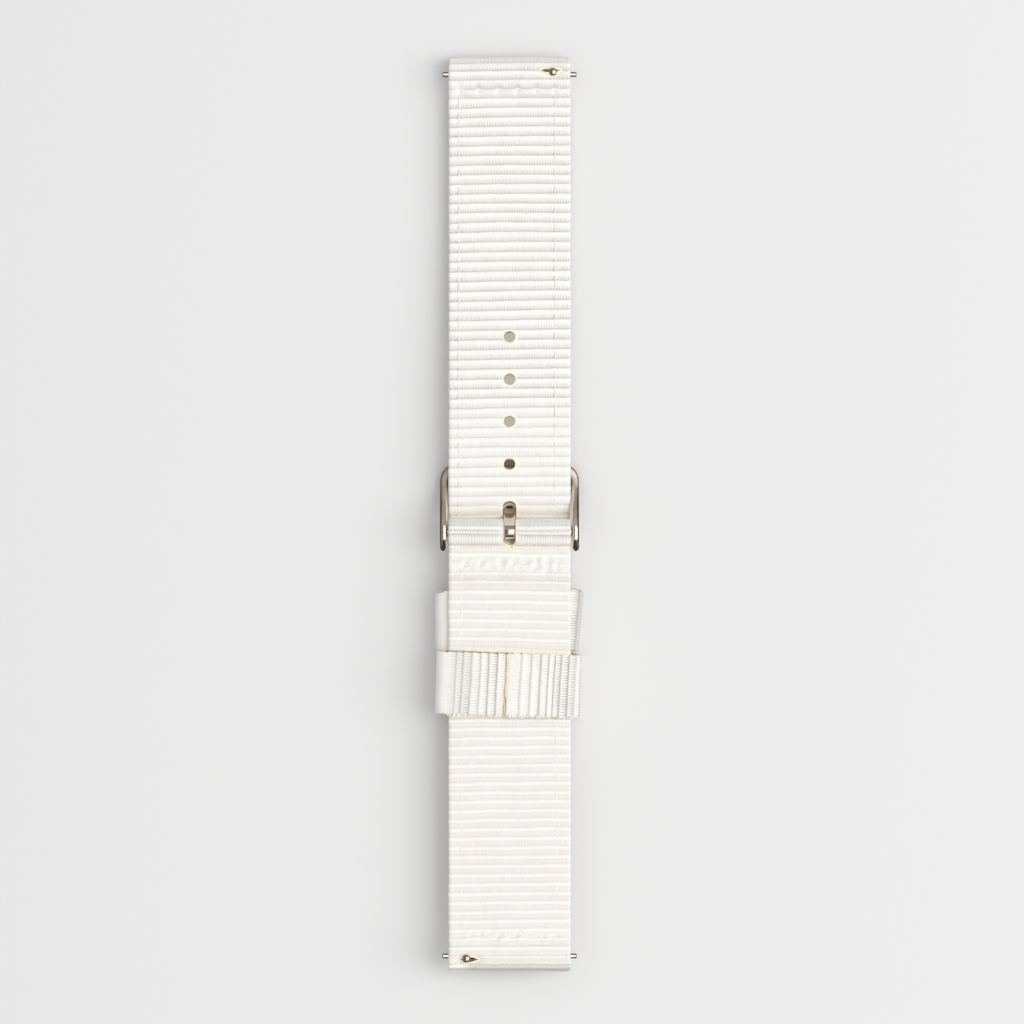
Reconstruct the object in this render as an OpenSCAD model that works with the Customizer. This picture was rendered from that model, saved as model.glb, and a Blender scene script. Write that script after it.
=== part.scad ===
// Two-piece ribbed nylon watch strap, buckled and lying face down.
// X runs across the strap, Y along it, Z up towards the skin side.
// The origin is on the surface it lies on, under the middle of the buckled length.

/* [Webbing] */
// Width of both straps
strap_w = 20; // [16:0.5:24]
// Thickness of one layer of strap webbing, over its ribs
web_t = 1.18; // [0.9:0.02:1.4]
// Depth of the valleys between the ribs
rib_depth = 0.22; // [0.08:0.02:0.3]
// Rib pitch of the long strap
long_rib = 1.55; // [1:0.05:2.5]
// Rib pitch of the short strap
short_rib = 1.49; // [1:0.01:2.5]
// Seam between the two layers of a folded strap
fold_gap = 0.04; // [0.02:0.01:0.1]

/* [Lengths] */
// Long strap from its tip to its lug end
long_len = 120; // [105:1:135]
// Short strap from its buckle end to its lug end
short_len = 74.4; // [68:0.2:90]
// Corner radius of the long strap's tip
tip_corner = 6; // [1:0.5:7.5]
// Length over which the layers are sealed together at the tip
tip_seal = 0.8; // [0.4:0.1:2]
// From the flap's cut end to the axis of the buckle bar
flap_len = 19.4; // [19:0.1:21]
// Width of the sewn stretch between the buckle loop and the fixed keeper
sewn_len = 3.2; // [2:0.1:3.4]

/* [Adjustment holes] */
// Diameter of a hole
hole_d = 1.9; // [1.4:0.1:2.2]
// Distance between holes
hole_pitch = 6.95; // [6:0.05:8]
// Number of holes
hole_count = 7; // [5:1:8]
// From the tip to the first hole
first_hole = 32.05; // [28:0.05:36]
// Which hole the tang is in, counted from the tip, the first being 0
worn_hole = 2; // [2:1:4]
// Width of the worn hole, which the tang has stretched
worn_w = 2.2; // [2.1:0.1:2.6]
// How far the worn hole reaches from its middle towards the lug end
worn_front = 0.95; // [0.9:0.05:1.1]
// How far the worn hole reaches from its middle towards the buckle bar
worn_back = 3.2; // [3.2:0.05:3.6]
// From the buckle bar's axis to the middle of the worn hole
hole_to_bar = 4.1; // [4:0.05:4.3]

/* [Keepers] */
// Thickness of the keepers' webbing, over its ribs
keeper_t = 1.2; // [0.9:0.05:1.4]
// Rib pitch of the keepers
keeper_rib = 1.44; // [1:0.02:2]
// Length of the fixed keeper along the strap
fixed_keeper_len = 9.8; // [8:0.1:9.8]
// Length of the floating keeper along the strap
floating_keeper_len = 10.5; // [8:0.1:13]
// Room between a strap edge and the fixed keeper's side
fixed_side_gap = 1; // [0.7:0.1:1.8]
// Room between a strap edge and the floating keeper's side
floating_side_gap = 0.7; // [0.4:0.1:1.8]
// Outer corner radius of both keepers
keeper_corner = 1.7; // [1.4:0.1:2]
// Room between the keepers and the straps inside them
keeper_gap = 0.15; // [0.1:0.05:0.3]
// Room round the fixed keeper's band where the short strap traps it
trap_gap = 0.05; // [0.03:0.01:0.1]
// From the fixed keeper's near edge to where the flap has risen over it
trap_room = 0.2; // [0.1:0.05:0.4]
// Room between the two keepers
keeper_step = 0.2; // [0.1:0.1:2]

/* [Buckle] */
// Room between a strap edge and the inside of a buckle arm
arm_side_gap = 0.15; // [0.1:0.05:0.3]
// Width of a buckle arm, across the strap
arm_w = 1.25; // [1.1:0.05:1.6]
// Height of an arm at the buckle bar
arm_h = 2.7; // [2.2:0.1:3]
// Thickness of the outer bar
outer_bar_t = 1.5; // [1.2:0.05:1.8]
// Width of the outer bar, along the strap
outer_bar_w = 1.7; // [1.4:0.1:1.9]
// From the buckle bar's axis to the far edge of the outer bar
buckle_reach = 10.8; // [10.6:0.1:11.4]
// From the buckle bar's axis to the free end of an arm
arm_tail = 3.2; // [2.4:0.1:3.6]
// Outer corner radius of the buckle, seen from above
buckle_corner = 1.3; // [0.5:0.1:1.6]
// Corner radius inside the buckle, seen from above
window_corner = 0.8; // [0.3:0.1:1.2]
// How far the buckle bar's axis lies above the short strap's middle
bar_raise = 0.35; // [0.3:0.01:0.4]

/* [Tang] */
// Width of the tang
tang_w = 1.9; // [1.6:0.1:1.9]
// Thickness of the tang
tang_t = 0.7; // [0.6:0.05:0.75]
// Thickness of the curl round the buckle bar
curl_t = 0.4; // [0.35:0.01:0.45]
// Width of the slit where the curl ends
curl_slit = 0.2; // [0.1:0.05:0.4]
// Direction of that slit from the bar, in degrees up from the strap's length
curl_end = -45; // [-60:5:-30]
// Steepness of the tang where it goes down through the strap, in degrees
tang_slope = 60; // [58:1:62]
// Radius of the middle line of the tang's bend
tang_bend = 0.9; // [0.8:0.05:1]
// How far the tang's tip reaches past the outer bar
tang_over = 1; // [0.2:0.1:1.4]
// Corner radius of the tang's tip, seen from above
tang_corner = 0.75; // [0.4:0.05:0.75]
// Length over which the tang grows from its curl to its full thickness
tang_swell = 1.2; // [0.8:0.1:1.4]
// Room between the tang and the outer bar, and under the tang
tang_gap = 0.05; // [0.03:0.01:0.08]
// Room between the strap and the metal that it lies over or under
metal_gap = 0.15; // [0.12:0.01:0.2]

/* [Spring bars] */
// Radius of the tube of each spring bar
tube_r = 0.9; // [0.75:0.05:0.9]
// Radius of the bore of each tube
tube_bore_r = 0.62; // [0.55:0.01:0.65]
// Radius of a tip
tip_r = 0.4; // [0.35:0.01:0.45]
// How far a lug bar's tip stands out of its tube
lug_tip_len = 1.05; // [0.8:0.05:1.2]
// How far a buckle bar's tip goes into its arm
buckle_tip_len = 0.8; // [0.6:0.05:0.85]
// Length of the narrowed neck at each end of a tube
neck_len = 0.5; // [0.3:0.05:0.6]
// How much a tip's shank tapers on the radius, from the tube's face to the collar
neck_taper = 0.02; // [0.01:0.01:0.04]
// Chamfer at the end of a tip
tip_chamfer = 0.1; // [0.05:0.01:0.15]
// Running clearance on the radius of each tip and of the tang's curl
run_gap = 0.05; // [0.03:0.01:0.08]
// Clearance on the radius of a seated piece
seat_gap = 0.01; // [0.01:0.01:0.02]
// Length of the collar behind a tip
collar_len = 1.5; // [1:0.1:2]
// Diameter of the spring wire
wire_d = 0.2; // [0.15:0.01:0.22]
// Turns of each spring
spring_turns = 12; // [8:1:14]
// Room round a bar where the webbing is folded over it
tunnel_gap = 0.1; // [0.08:0.01:0.15]

/* [Quick release] */
// How far the release knobs travel
release_travel = 1.2; // [1.1:0.05:1.3]
// Radius of a release knob
knob_r = 0.65; // [0.5:0.05:0.75]
// Radius of a release knob's stem
stem_r = 0.28; // [0.22:0.01:0.3]
// Height of a knob's top above its bar's axis
knob_top = 2.35; // [2.2:0.05:2.6]
// Radius of the rounding round a knob's top
knob_round = 0.22; // [0.1:0.01:0.3]
// Length of a release tip behind its knob's stem
stem_wall = 0.4; // [0.3:0.05:0.6]
// From the strap's edge to the middle of a knob
knob_inset = 2.9; // [2.6:0.05:3.4]
// How far the knobs lean towards the strap ends, in degrees
knob_lean = 10; // [0:1:12]
// Room round a knob in its eye-shaped slit
eye_gap = 0.38; // [0.35:0.01:0.5]
// Extra length at each end of the slit
eye_end = 0.55; // [0.4:0.05:0.7]
// From the long strap's lug end to its bar's axis
long_lug_inset = 3; // [2.4:0.05:3.2]
// From the short strap's lug end to its bar's axis
short_lug_inset = 2.65; // [2.4:0.05:3.2]
// Length over which the layers part to form each lug loop
flare_len = 4.5; // [3.5:0.1:6]

/* [Hidden] */

webbing_colour = "#F1EDE4";
steel_colour = "#C9CBCD";
spring_colour = "#8E9092";
$fn = 48;

// Stations that draw one rib, from valley to valley
rib_steps = 4;
// Heights of the rib between its valley, 0, and its crest, 1
rib_form = [0, 0.8, 1, 0.8];
// Ribs round each fold
fold_ribs = 4;
// Steps round the plain face of each fold
fold_steps = 16;
// Distance between the points of a plain face
plain_step = 0.75;
// Half the length over which a slope is measured
slope_step = 0.05;
// Steps along a buckle arm, round the half circle at each of its ends, and round a bend
arm_steps = 20;
end_steps = 12;
bend_steps = 6;
// Cuts run this far past what they cut
past = 1;

strap_t = 2 * web_t + fold_gap;
loop_r = tube_r + tunnel_gap + web_t;
tunnel_r = tube_r + tunnel_gap;

// Along the strap: places from the buckle bar, then shifted so that the whole is centred
long_end_from_bar = hole_to_bar + long_len - first_hole - worn_hole * hole_pitch;
short_end_from_bar = loop_r - short_len;
bar_y = -(long_end_from_bar + short_end_from_bar) / 2;
long_end_y = bar_y + long_end_from_bar;
short_end_y = bar_y + short_end_from_bar;
tip_y = long_end_y - long_len;
worn_y = bar_y + hole_to_bar;
long_lug_y = long_end_y - long_lug_inset;
short_lug_y = short_end_y + short_lug_inset;
flap_y = bar_y - flap_len;
fixed_keeper_y = flap_y - trap_gap;
floating_keeper_y = fixed_keeper_y - keeper_step;
outer_bar_y = bar_y + buckle_reach;

// Heights, from the surface up
tail_mid_z = keeper_t + keeper_gap + strap_t / 2;
layer_gap = keeper_gap - trap_gap;
short_mid_z = tail_mid_z + strap_t + layer_gap;
front_mid_z = short_mid_z - (fold_gap + web_t) / 2;
back_mid_z = short_mid_z + (fold_gap + web_t) / 2;
bar_z = short_mid_z + bar_raise;
loop_low_z = bar_z - tunnel_r - web_t / 2;
loop_high_z = bar_z + tunnel_r + web_t / 2;
dip = front_mid_z - loop_low_z;
trap_z = front_mid_z + web_t / 2 + trap_gap;
flap_mid_z = trap_z + keeper_t + trap_gap + web_t / 2;
tang_mid_z = tang_gap + tang_t / 2;
outer_bar_z = tang_mid_z + tang_t / 2 + tang_gap + outer_bar_t / 2;
over_bar_z = outer_bar_z + outer_bar_t / 2 + metal_gap + strap_t / 2;
long_lug_z = loop_r;
short_lug_z = short_mid_z;
keeper_top_z = short_mid_z + strap_t / 2 + keeper_gap + keeper_t;

// Across the strap
arm_in_x = strap_w / 2 + arm_side_gap;
arm_out_x = arm_in_x + arm_w;
fixed_keeper_w = strap_w + 2 * (fixed_side_gap + keeper_t);
floating_keeper_w = strap_w + 2 * (floating_side_gap + keeper_t);
buckle_tube_x = arm_in_x - run_gap;
lug_tube_x = strap_w / 2 - run_gap;
knob_x = strap_w / 2 - knob_inset;

// Where the straps bend, as distances from the buckle bar
dip_far = 7.5;
dip_near = 1.5;
rise_start = 0.4;
rise_end = 9;
droop_start = 12.5;
droop_end = 58;
valley_near = 3.3;

// 0 below 0, 1 above 1, and smooth between
function ease(u) = u <= 0 ? 0 : u >= 1 ? 1 : u * u * (3 - 2 * u);

// Height of the middle of the long strap: level in the keepers, down under the
// short strap's loop, up over the outer bar, and down to the surface
function long_z(y) =
    tail_mid_z - dip * ease((y - bar_y + dip_far) / (dip_far - dip_near))
    + (over_bar_z - tail_mid_z + dip) * ease((y - bar_y - rise_start) / (rise_end - rise_start))
    - (over_bar_z - long_lug_z)
        * ease((y - bar_y - droop_start) / (droop_end - droop_start));

// Height of the middle of the short strap's front layer
function front_z(y) =
    front_mid_z - dip * ease((y - bar_y + dip_far) / (dip_far - dip_near));

// Height of the middle of the flap: high on the buckle loop, sewn down behind it,
// and high again over the fixed keeper
function flap_z(y) =
    let (sewn = front_z(y) + web_t + fold_gap)
    let (loop_share = ease((y - bar_y + valley_near) / (valley_near - tube_r / 2)))
    let (keeper_edge = fixed_keeper_y + fixed_keeper_len + trap_room)
    let (sewn_far = bar_y - valley_near - sewn_len)
    let (keeper_share = ease((sewn_far - y) / (sewn_far - keeper_edge)))
    sewn + (loop_high_z - sewn) * loop_share + (flap_mid_z - sewn) * keeper_share;

// Half the room between the layers of a folded strap, which parts to form the lug loop
function part(y, lug_y) =
    fold_gap / 2 + (tunnel_r - fold_gap / 2) * ease(1 - (abs(lug_y) - abs(y)) / flare_len);

// Slope of a line, which gives the height at y
function slope(line, y) =
    atan((line(y + slope_step) - line(y - slope_step)) / (2 * slope_step));

// A point square off a line at [y, z], that slopes by angle a
function off(y, z, a, d) = [y - d * sin(a), z + d * cos(a)];

// How far below its crest a rib is at station i
function rib_drop(i) = rib_depth * (1 - rib_form[i % rib_steps]);

// Number of whole ribs along a length
function ribs_in(len, pitch) = max(1, round(len / pitch));

// Stations from y0 to y1, rib_steps to each rib of the given pitch
function stations(y0, y1, pitch) =
    let (n = rib_steps * ribs_in(abs(y1 - y0), pitch))
    [for (i = [0 : n]) y0 + (y1 - y0) * i / n];

// The ribbed face of a layer at those stations, d(y) off its line on one side, 1 or -1
function ribbed_face(line, ys, side, d) =
    [for (i = [0 : len(ys) - 1])
        off(ys[i], line(ys[i]), slope(line, ys[i]), side * (d(ys[i]) - rib_drop(i)))];

// The plain face of a layer, d(y) off its line on one side, 1 or -1
function plain_face(line, y0, y1, side, d) =
    let (n = ceil(abs(y1 - y0) / plain_step))
    [for (i = [0 : n])
        let (y = y0 + (y1 - y0) * i / n)
        off(y, line(y), slope(line, y), side * d(y))];

// The ribbed face of a fold round c, between its ends at angles a and b
function ribbed_fold(c, a, b) =
    let (n = rib_steps * fold_ribs)
    [for (i = [1 : n - 1])
        let (t = a + (b - a) * i / n)
        c + (loop_r - rib_drop(i)) * [cos(t), sin(t)]];

// The plain face of a fold round c
function plain_fold(c, a, b) =
    [for (i = [1 : fold_steps - 1])
        let (t = a + (b - a) * i / fold_steps)
        c + tunnel_r * [cos(t), sin(t)]];

// A list from its end to its start
function backwards(list) = [for (i = [len(list) - 1 : -1 : 0]) list[i]];

// Spring wire wound along X, from x0 to x1, round radius r
module coil_spring(x0, x1, r, wire, turns) {
    rings = 10;
    sides = 6;
    n = rings * turns;
    pitch = (x1 - x0 - wire) / turns;
    centre = [for (i = [0 : n])
        [x0 + wire / 2 + pitch * i / rings, r * cos(360 * i / rings), r * sin(360 * i / rings)]];
    points = [for (i = [0 : n], k = [0 : sides - 1])
        let (turn = 360 * i / rings)
        let (out = r + wire / 2 * cos(360 * k / sides))
        [centre[i][0] + wire / 2 * sin(360 * k / sides), out * cos(turn), out * sin(turn)]];
    ends = [[for (k = [0 : sides - 1]) k], [for (k = [sides - 1 : -1 : 0]) n * sides + k]];
    walls = [for (i = [0 : n - 1], k = [0 : sides - 1])
        let (j = (k + 1) % sides)
        each [
            [i * sides + k, (i + 1) * sides + k, (i + 1) * sides + j],
            [i * sides + k, (i + 1) * sides + j, i * sides + j]
        ]];
    polyhedron(points, concat(ends, walls));
}

// A solid whose outline is drawn in the YZ plane and runs w across the strap
module across(w) {
    rotate([90, 0, 90])
        translate([0, 0, -w / 2])
            linear_extrude(w)
                children();
}

// A rod along X, from x0 to x1
module rod(x0, x1, r) {
    translate([x0, 0, 0])
        rotate([0, 90, 0])
            cylinder(h = x1 - x0, r = r);
}

// A slot seen from above, between the middles of its round ends at a and b
module pill(a, b, w) {
    translate(a)
        circle(d = w);
    translate(b)
        circle(d = w);
    translate([(a[0] + b[0]) / 2, (a[1] + b[1]) / 2])
        square([abs(b[0] - a[0]) + (a[0] == b[0] ? w : 0), abs(b[1] - a[1]) + (a[1] == b[1] ? w : 0)],
            center = true);
}

// A rectangle with round corners, from [x0, y0] to [x1, y1]
module round_box(x0, y0, x1, y1, r) {
    translate([x0 + r, y0])
        square([x1 - x0 - 2 * r, y1 - y0]);
    translate([x0, y0 + r])
        square([x1 - x0, y1 - y0 - 2 * r]);
    for (x = [x0 + r, x1 - r], y = [y0 + r, y1 - r])
        translate([x, y])
            circle(r = r);
}

// Where a run of a route, [length, turn], leads from pose p, [x, y, heading], after d
function moved(p, run, d) =
    let (turn = run[1] * d / run[0])
    let (r = turn == 0 ? 0 : d * 180 / (turn * PI))
    turn == 0
        ? [p[0] + d * cos(p[2]), p[1] + d * sin(p[2]), p[2]]
        : [p[0] + r * (sin(p[2] + turn) - sin(p[2])),
            p[1] - r * (cos(p[2] + turn) - cos(p[2])), p[2] + turn];

// The pose on a route after distance d
function pose(runs, d, p, i = 0) =
    i == len(runs) - 1 || d <= runs[i][0]
        ? moved(p, runs[i], d)
        : pose(runs, d - runs[i][0], moved(p, runs[i], runs[i][0]), i + 1);

// The long strap's outline: one webbing folded round the lug bar and sealed at its tip
module long_strap_outline() {
    fold_y = long_end_y - loop_r;
    fold = [fold_y, long_lug_z];
    middle = function(y) long_z(y);
    out = function(y) part(y, long_lug_y) + web_t;
    in = function(y) part(y, long_lug_y);
    ys = stations(tip_y, fold_y, long_rib);
    skin = concat(
        ribbed_face(middle, ys, -1, out),
        ribbed_fold(fold, -90, 90),
        backwards(ribbed_face(middle, ys, 1, out)));
    seam = concat(
        plain_face(middle, tip_y + tip_seal, fold_y, -1, in),
        plain_fold(fold, -90, 90),
        plain_face(middle, fold_y, tip_y + tip_seal, 1, in));
    polygon(concat(skin, seam), [
        [for (i = [0 : len(skin) - 1]) i],
        [for (i = [0 : len(seam) - 1]) len(skin) + i]
    ]);
}

// The short strap's outline: one webbing from the flap's end, round the buckle bar,
// along the front, round the lug bar, and back to the fixed keeper
module short_strap_outline() {
    fold_y = short_end_y + loop_r;
    near_fold = [bar_y, bar_z];
    far_fold = [fold_y, short_lug_z];
    opening = function(y) part(y, short_lug_y) - fold_gap / 2;
    flap = function(y) flap_z(y);
    front = function(y) front_z(y) - opening(y);
    back = function(y) back_mid_z + opening(y);
    half = function(y) web_t / 2;
    back_y = fixed_keeper_y - trap_gap;
    polygon(concat(
        ribbed_face(flap, stations(flap_y, bar_y, short_rib), 1, half),
        ribbed_fold(near_fold, 90, -90),
        ribbed_face(front, stations(bar_y, fold_y, short_rib), -1, half),
        ribbed_fold(far_fold, -90, -270),
        ribbed_face(back, stations(fold_y, back_y, short_rib), 1, half),
        plain_face(back, back_y, fold_y, -1, half),
        plain_fold(far_fold, -270, -90),
        plain_face(front, fold_y, bar_y, 1, half),
        plain_fold(near_fold, -90, 90),
        plain_face(flap, bar_y, flap_y, -1, half)));
}

// The slit that a knob stands in, drawn from above its bar
module knob_slit(w, extra) {
    pill([knob_x - release_travel - extra, 0], [knob_x + extra, 0], w);
}

// Places what belongs to a lug bar; the short strap's bar is turned half round
module at_long_lug() {
    translate([0, long_lug_y, long_lug_z])
        rotate([-knob_lean, 0, 0])
            children();
}

module at_short_lug() {
    translate([0, short_lug_y, short_lug_z])
        rotate([0, 0, 180])
            rotate([-knob_lean, 0, 0])
                children();
}

// The cut through a strap's lug loop that a knob stands in
module eye_slit() {
    translate([0, 0, tunnel_r / 2])
        linear_extrude(loop_r)
            knob_slit(2 * (knob_r + eye_gap), eye_end - eye_gap);
}

module long_strap() {
    corner_y = tip_y + tip_corner;
    corner_x = strap_w / 2 - tip_corner;
    color(webbing_colour)
        difference() {
            across(strap_w)
                long_strap_outline();
            for (i = [0 : hole_count - 1])
                translate([0, tip_y + first_hole + i * hole_pitch, -past])
                    cylinder(h = keeper_top_z, d = hole_d);
            translate([0, 0, -past])
                linear_extrude(keeper_top_z)
                    pill([0, worn_y - worn_back + worn_w / 2], [0, worn_y + worn_front - worn_w / 2],
                        worn_w);
            for (side = [-1, 1])
                linear_extrude(keeper_top_z)
                    difference() {
                        translate([side * (corner_x + tip_corner), corner_y - tip_corner])
                            square(2 * tip_corner, center = true);
                        translate([side * corner_x, corner_y])
                            circle(r = tip_corner);
                    }
            at_long_lug()
                eye_slit();
        }
}

module short_strap() {
    slot_far = bar_y - tunnel_r - web_t;
    color(webbing_colour)
        difference() {
            across(strap_w)
                short_strap_outline();
            linear_extrude(keeper_top_z + past)
                pill([0, slot_far + worn_w / 2], [0, bar_y + strap_w], worn_w);
            at_short_lug()
                eye_slit();
        }
}

// A closed band of ribbed webbing round the straps, from the surface up to top_z
module keeper(w, top_z, near_y, far_y) {
    side = top_z - 2 * keeper_corner;
    base = w - 2 * keeper_corner;
    turn = [PI * keeper_corner / 2, 90];
    runs = [[base, 0], turn, [side, 0], turn, [base, 0], turn, [side, 0], turn];
    around = 2 * (base + side) + 2 * PI * keeper_corner;
    n = rib_steps * ribs_in(around, keeper_rib);
    crest = [for (i = [0 : n - 1])
        let (p = pose(runs, around * i / n, [-base / 2, 0, 0]))
        [p[0] - rib_drop(i) * sin(p[2]), p[1] + rib_drop(i) * cos(p[2])]];
    translate([0, near_y, 0])
        rotate([90, 0, 0])
            linear_extrude(near_y - far_y)
                difference() {
                    polygon(crest);
                    round_box(-w / 2 + keeper_t, keeper_t, w / 2 - keeper_t, top_z - keeper_t,
                        keeper_corner - keeper_t);
                }
}

module fixed_keeper() {
    color(webbing_colour)
        keeper(fixed_keeper_w, trap_z + keeper_t, fixed_keeper_y + fixed_keeper_len, fixed_keeper_y);
}

module floating_keeper() {
    color(webbing_colour)
        keeper(floating_keeper_w, keeper_top_z, floating_keeper_y,
            floating_keeper_y - floating_keeper_len);
}

// Side outline of the buckle: arms that curve down from the bar to the outer bar
module buckle_side() {
    tail_y = bar_y - arm_tail + arm_h / 2;
    nose_y = outer_bar_y - outer_bar_t / 2;
    bend_y = outer_bar_y - outer_bar_w;
    share = function(y) ease((y - bar_y) / (bend_y - bar_y));
    middle = function(y) bar_z + (outer_bar_z - bar_z) * share(y);
    half = function(y) (arm_h + (outer_bar_t - arm_h) * share(y)) / 2;
    ys = [for (i = [0 : arm_steps]) tail_y + (nose_y - tail_y) * i / arm_steps];
    round_end = function(c, r, from) [for (i = [1 : end_steps - 1])
        let (t = from + 180 * i / end_steps)
        c + r * [cos(t), sin(t)]];
    nose = round_end([nose_y, outer_bar_z], outer_bar_t / 2, -90);
    tail = round_end([tail_y, bar_z], arm_h / 2, 90);
    polygon(concat(
        [for (y = ys) [y, middle(y) - half(y)]],
        nose,
        backwards([for (y = ys) [y, middle(y) + half(y)]]),
        tail));
}

module buckle_frame() {
    window_y = outer_bar_y - outer_bar_w;
    open_y = bar_y - arm_tail - arm_h;
    color(steel_colour)
        difference() {
            intersection() {
                across(2 * arm_out_x)
                    buckle_side();
                linear_extrude(keeper_top_z + arm_h)
                    round_box(-arm_out_x, open_y, arm_out_x, outer_bar_y, buckle_corner);
            }
            translate([0, 0, -past])
                linear_extrude(keeper_top_z + arm_h + past)
                    round_box(-arm_in_x, open_y - strap_w, arm_in_x, window_y, window_corner);
            for (side = [0, 180])
                translate([0, bar_y, bar_z])
                    rotate([0, 0, side])
                        rod(0, arm_in_x + buckle_tip_len + run_gap, tip_r + run_gap);
        }
}

// Side outline of the tang: a curl round the bar, a leaf down through the strap,
// and a flat stretch under the outer bar
module tang_side() {
    curl_r = tube_r + run_gap;
    drop = bar_z + (curl_r + tang_t / 2) * cos(tang_slope) - tang_mid_z
        - tang_bend * (1 - cos(tang_slope));
    down = drop / sin(tang_slope);
    across_leaf = [sin(tang_slope), cos(tang_slope)];
    along_leaf = [cos(tang_slope), -sin(tang_slope)];
    root = [bar_y, bar_z];
    bend_c = root + (curl_r + tang_t / 2 + tang_bend) * across_leaf + down * along_leaf;
    bend = function(r) [for (i = [0 : bend_steps])
        let (t = -90 - tang_slope + tang_slope * i / bend_steps)
        bend_c + r * [cos(t), sin(t)]];
    tip = outer_bar_y + tang_over;
    difference() {
        union() {
            translate(root)
                circle(r = curl_r + curl_t);
            polygon(concat(
                [root + curl_r * across_leaf],
                bend(tang_bend + tang_t / 2),
                [[tip, tang_mid_z - tang_t / 2], [tip, tang_mid_z + tang_t / 2]],
                backwards(bend(tang_bend - tang_t / 2)),
                [root + (curl_r + tang_t) * across_leaf + tang_swell * along_leaf,
                    root + (curl_r + curl_t) * across_leaf]));
        }
        translate(root)
            rotate(curl_end)
                translate([0, -curl_slit / 2])
                    square([curl_r + 2 * curl_t, curl_slit]);
    }
}

module buckle_tang() {
    tip = outer_bar_y + tang_over;
    color(steel_colour)
        difference() {
            intersection() {
                across(tang_w)
                    tang_side();
                linear_extrude(keeper_top_z)
                    round_box(-tang_w / 2, bar_y - strap_w, tang_w / 2, tip, tang_corner);
            }
            translate([0, bar_y, bar_z])
                rod(-strap_w, strap_w, tube_r + run_gap);
        }
}

// A cone along X, from x0 to x1
module cone(x0, x1, r0, r1) {
    translate([x0, 0, 0])
        rotate([0, 90, 0])
            cylinder(h = x1 - x0, r1 = r0, r2 = r1);
}

// Bore of a tube along X, from one neck to the other
module tube_bore(half) {
    rod(neck_len - half, half - neck_len, tube_bore_r);
    rod(-half - past, half + past, tip_r + run_gap);
}

// A tip along X: a collar inside the tube, a tapered shank through its neck, and from
// the tube's face on a pin with a chamfered end
module tip(collar_x, shoulder_x, face_x, end_x, collar_r) {
    rod(collar_x, shoulder_x, collar_r);
    cone(shoulder_x, face_x, tip_r - neck_taper, tip_r);
    rod(face_x, end_x - tip_chamfer, tip_r);
    cone(end_x - tip_chamfer, end_x, tip_r, tip_r - tip_chamfer);
}

buckle_shoulder_x = buckle_tube_x - neck_len - run_gap;
lug_shoulder_x = lug_tube_x - neck_len - run_gap;
piston_x = knob_x - stem_r - stem_wall;
spring_r = tube_bore_r - run_gap - wire_d / 2;

module buckle_bar_tube() {
    color(steel_colour)
        translate([0, bar_y, bar_z])
            difference() {
                rod(-buckle_tube_x, buckle_tube_x, tube_r);
                tube_bore(buckle_tube_x);
            }
}

module buckle_bar_spring() {
    end_x = buckle_shoulder_x - collar_len - seat_gap;
    color(spring_colour)
        translate([0, bar_y, bar_z])
            coil_spring(-end_x, end_x, spring_r, wire_d, spring_turns);
}

module buckle_bar_tip() {
    tip(buckle_shoulder_x - collar_len, buckle_shoulder_x, buckle_tube_x,
        arm_in_x + buckle_tip_len, tube_bore_r - run_gap);
}

module buckle_bar_left_tip() {
    color(steel_colour)
        translate([0, bar_y, bar_z])
            rotate([0, 0, 180])
                buckle_bar_tip();
}

module buckle_bar_right_tip() {
    color(steel_colour)
        translate([0, bar_y, bar_z])
            buckle_bar_tip();
}

module lug_tube() {
    difference() {
        rod(-lug_tube_x, lug_tube_x, tube_r);
        tube_bore(lug_tube_x);
        linear_extrude(tube_r + past)
            knob_slit(2 * (stem_r + run_gap), run_gap);
    }
}

module lug_spring() {
    coil_spring(collar_len - lug_shoulder_x + seat_gap, piston_x - seat_gap, spring_r, wire_d,
        spring_turns);
}

module lug_fixed_tip() {
    rotate([0, 0, 180])
        tip(lug_shoulder_x - collar_len, lug_shoulder_x, lug_tube_x, lug_tube_x + lug_tip_len,
            tube_bore_r - seat_gap);
}

module lug_release_tip() {
    difference() {
        tip(piston_x, lug_shoulder_x, lug_tube_x, lug_tube_x + lug_tip_len,
            tube_bore_r - run_gap);
        translate([knob_x, 0, -seat_gap])
            cylinder(h = tube_r, r = stem_r + seat_gap);
    }
}

// A stem with a domed head, standing in the release tip
module lug_release_knob() {
    head_z = tunnel_r + tunnel_gap;
    translate([knob_x, 0, 0])
        rotate_extrude()
            polygon(concat(
                [[0, 0], [stem_r, 0], [stem_r, head_z], [knob_r, head_z]],
                [for (i = [0 : bend_steps])
                    let (t = 90 * i / bend_steps)
                    [knob_r, knob_top] + knob_round * [cos(t) - 1, sin(t) - 1]],
                [[0, knob_top]]));
}

module long_lug_bar_tube() {
    color(steel_colour)
        at_long_lug()
            lug_tube();
}

module long_lug_bar_spring() {
    color(spring_colour)
        at_long_lug()
            lug_spring();
}

module long_lug_bar_fixed_tip() {
    color(steel_colour)
        at_long_lug()
            lug_fixed_tip();
}

module long_lug_bar_release_tip() {
    color(steel_colour)
        at_long_lug()
            lug_release_tip();
}

module long_lug_bar_release_knob() {
    color(steel_colour)
        at_long_lug()
            lug_release_knob();
}

module short_lug_bar_tube() {
    color(steel_colour)
        at_short_lug()
            lug_tube();
}

module short_lug_bar_spring() {
    color(spring_colour)
        at_short_lug()
            lug_spring();
}

module short_lug_bar_fixed_tip() {
    color(steel_colour)
        at_short_lug()
            lug_fixed_tip();
}

module short_lug_bar_release_tip() {
    color(steel_colour)
        at_short_lug()
            lug_release_tip();
}

module short_lug_bar_release_knob() {
    color(steel_colour)
        at_short_lug()
            lug_release_knob();
}

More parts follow.
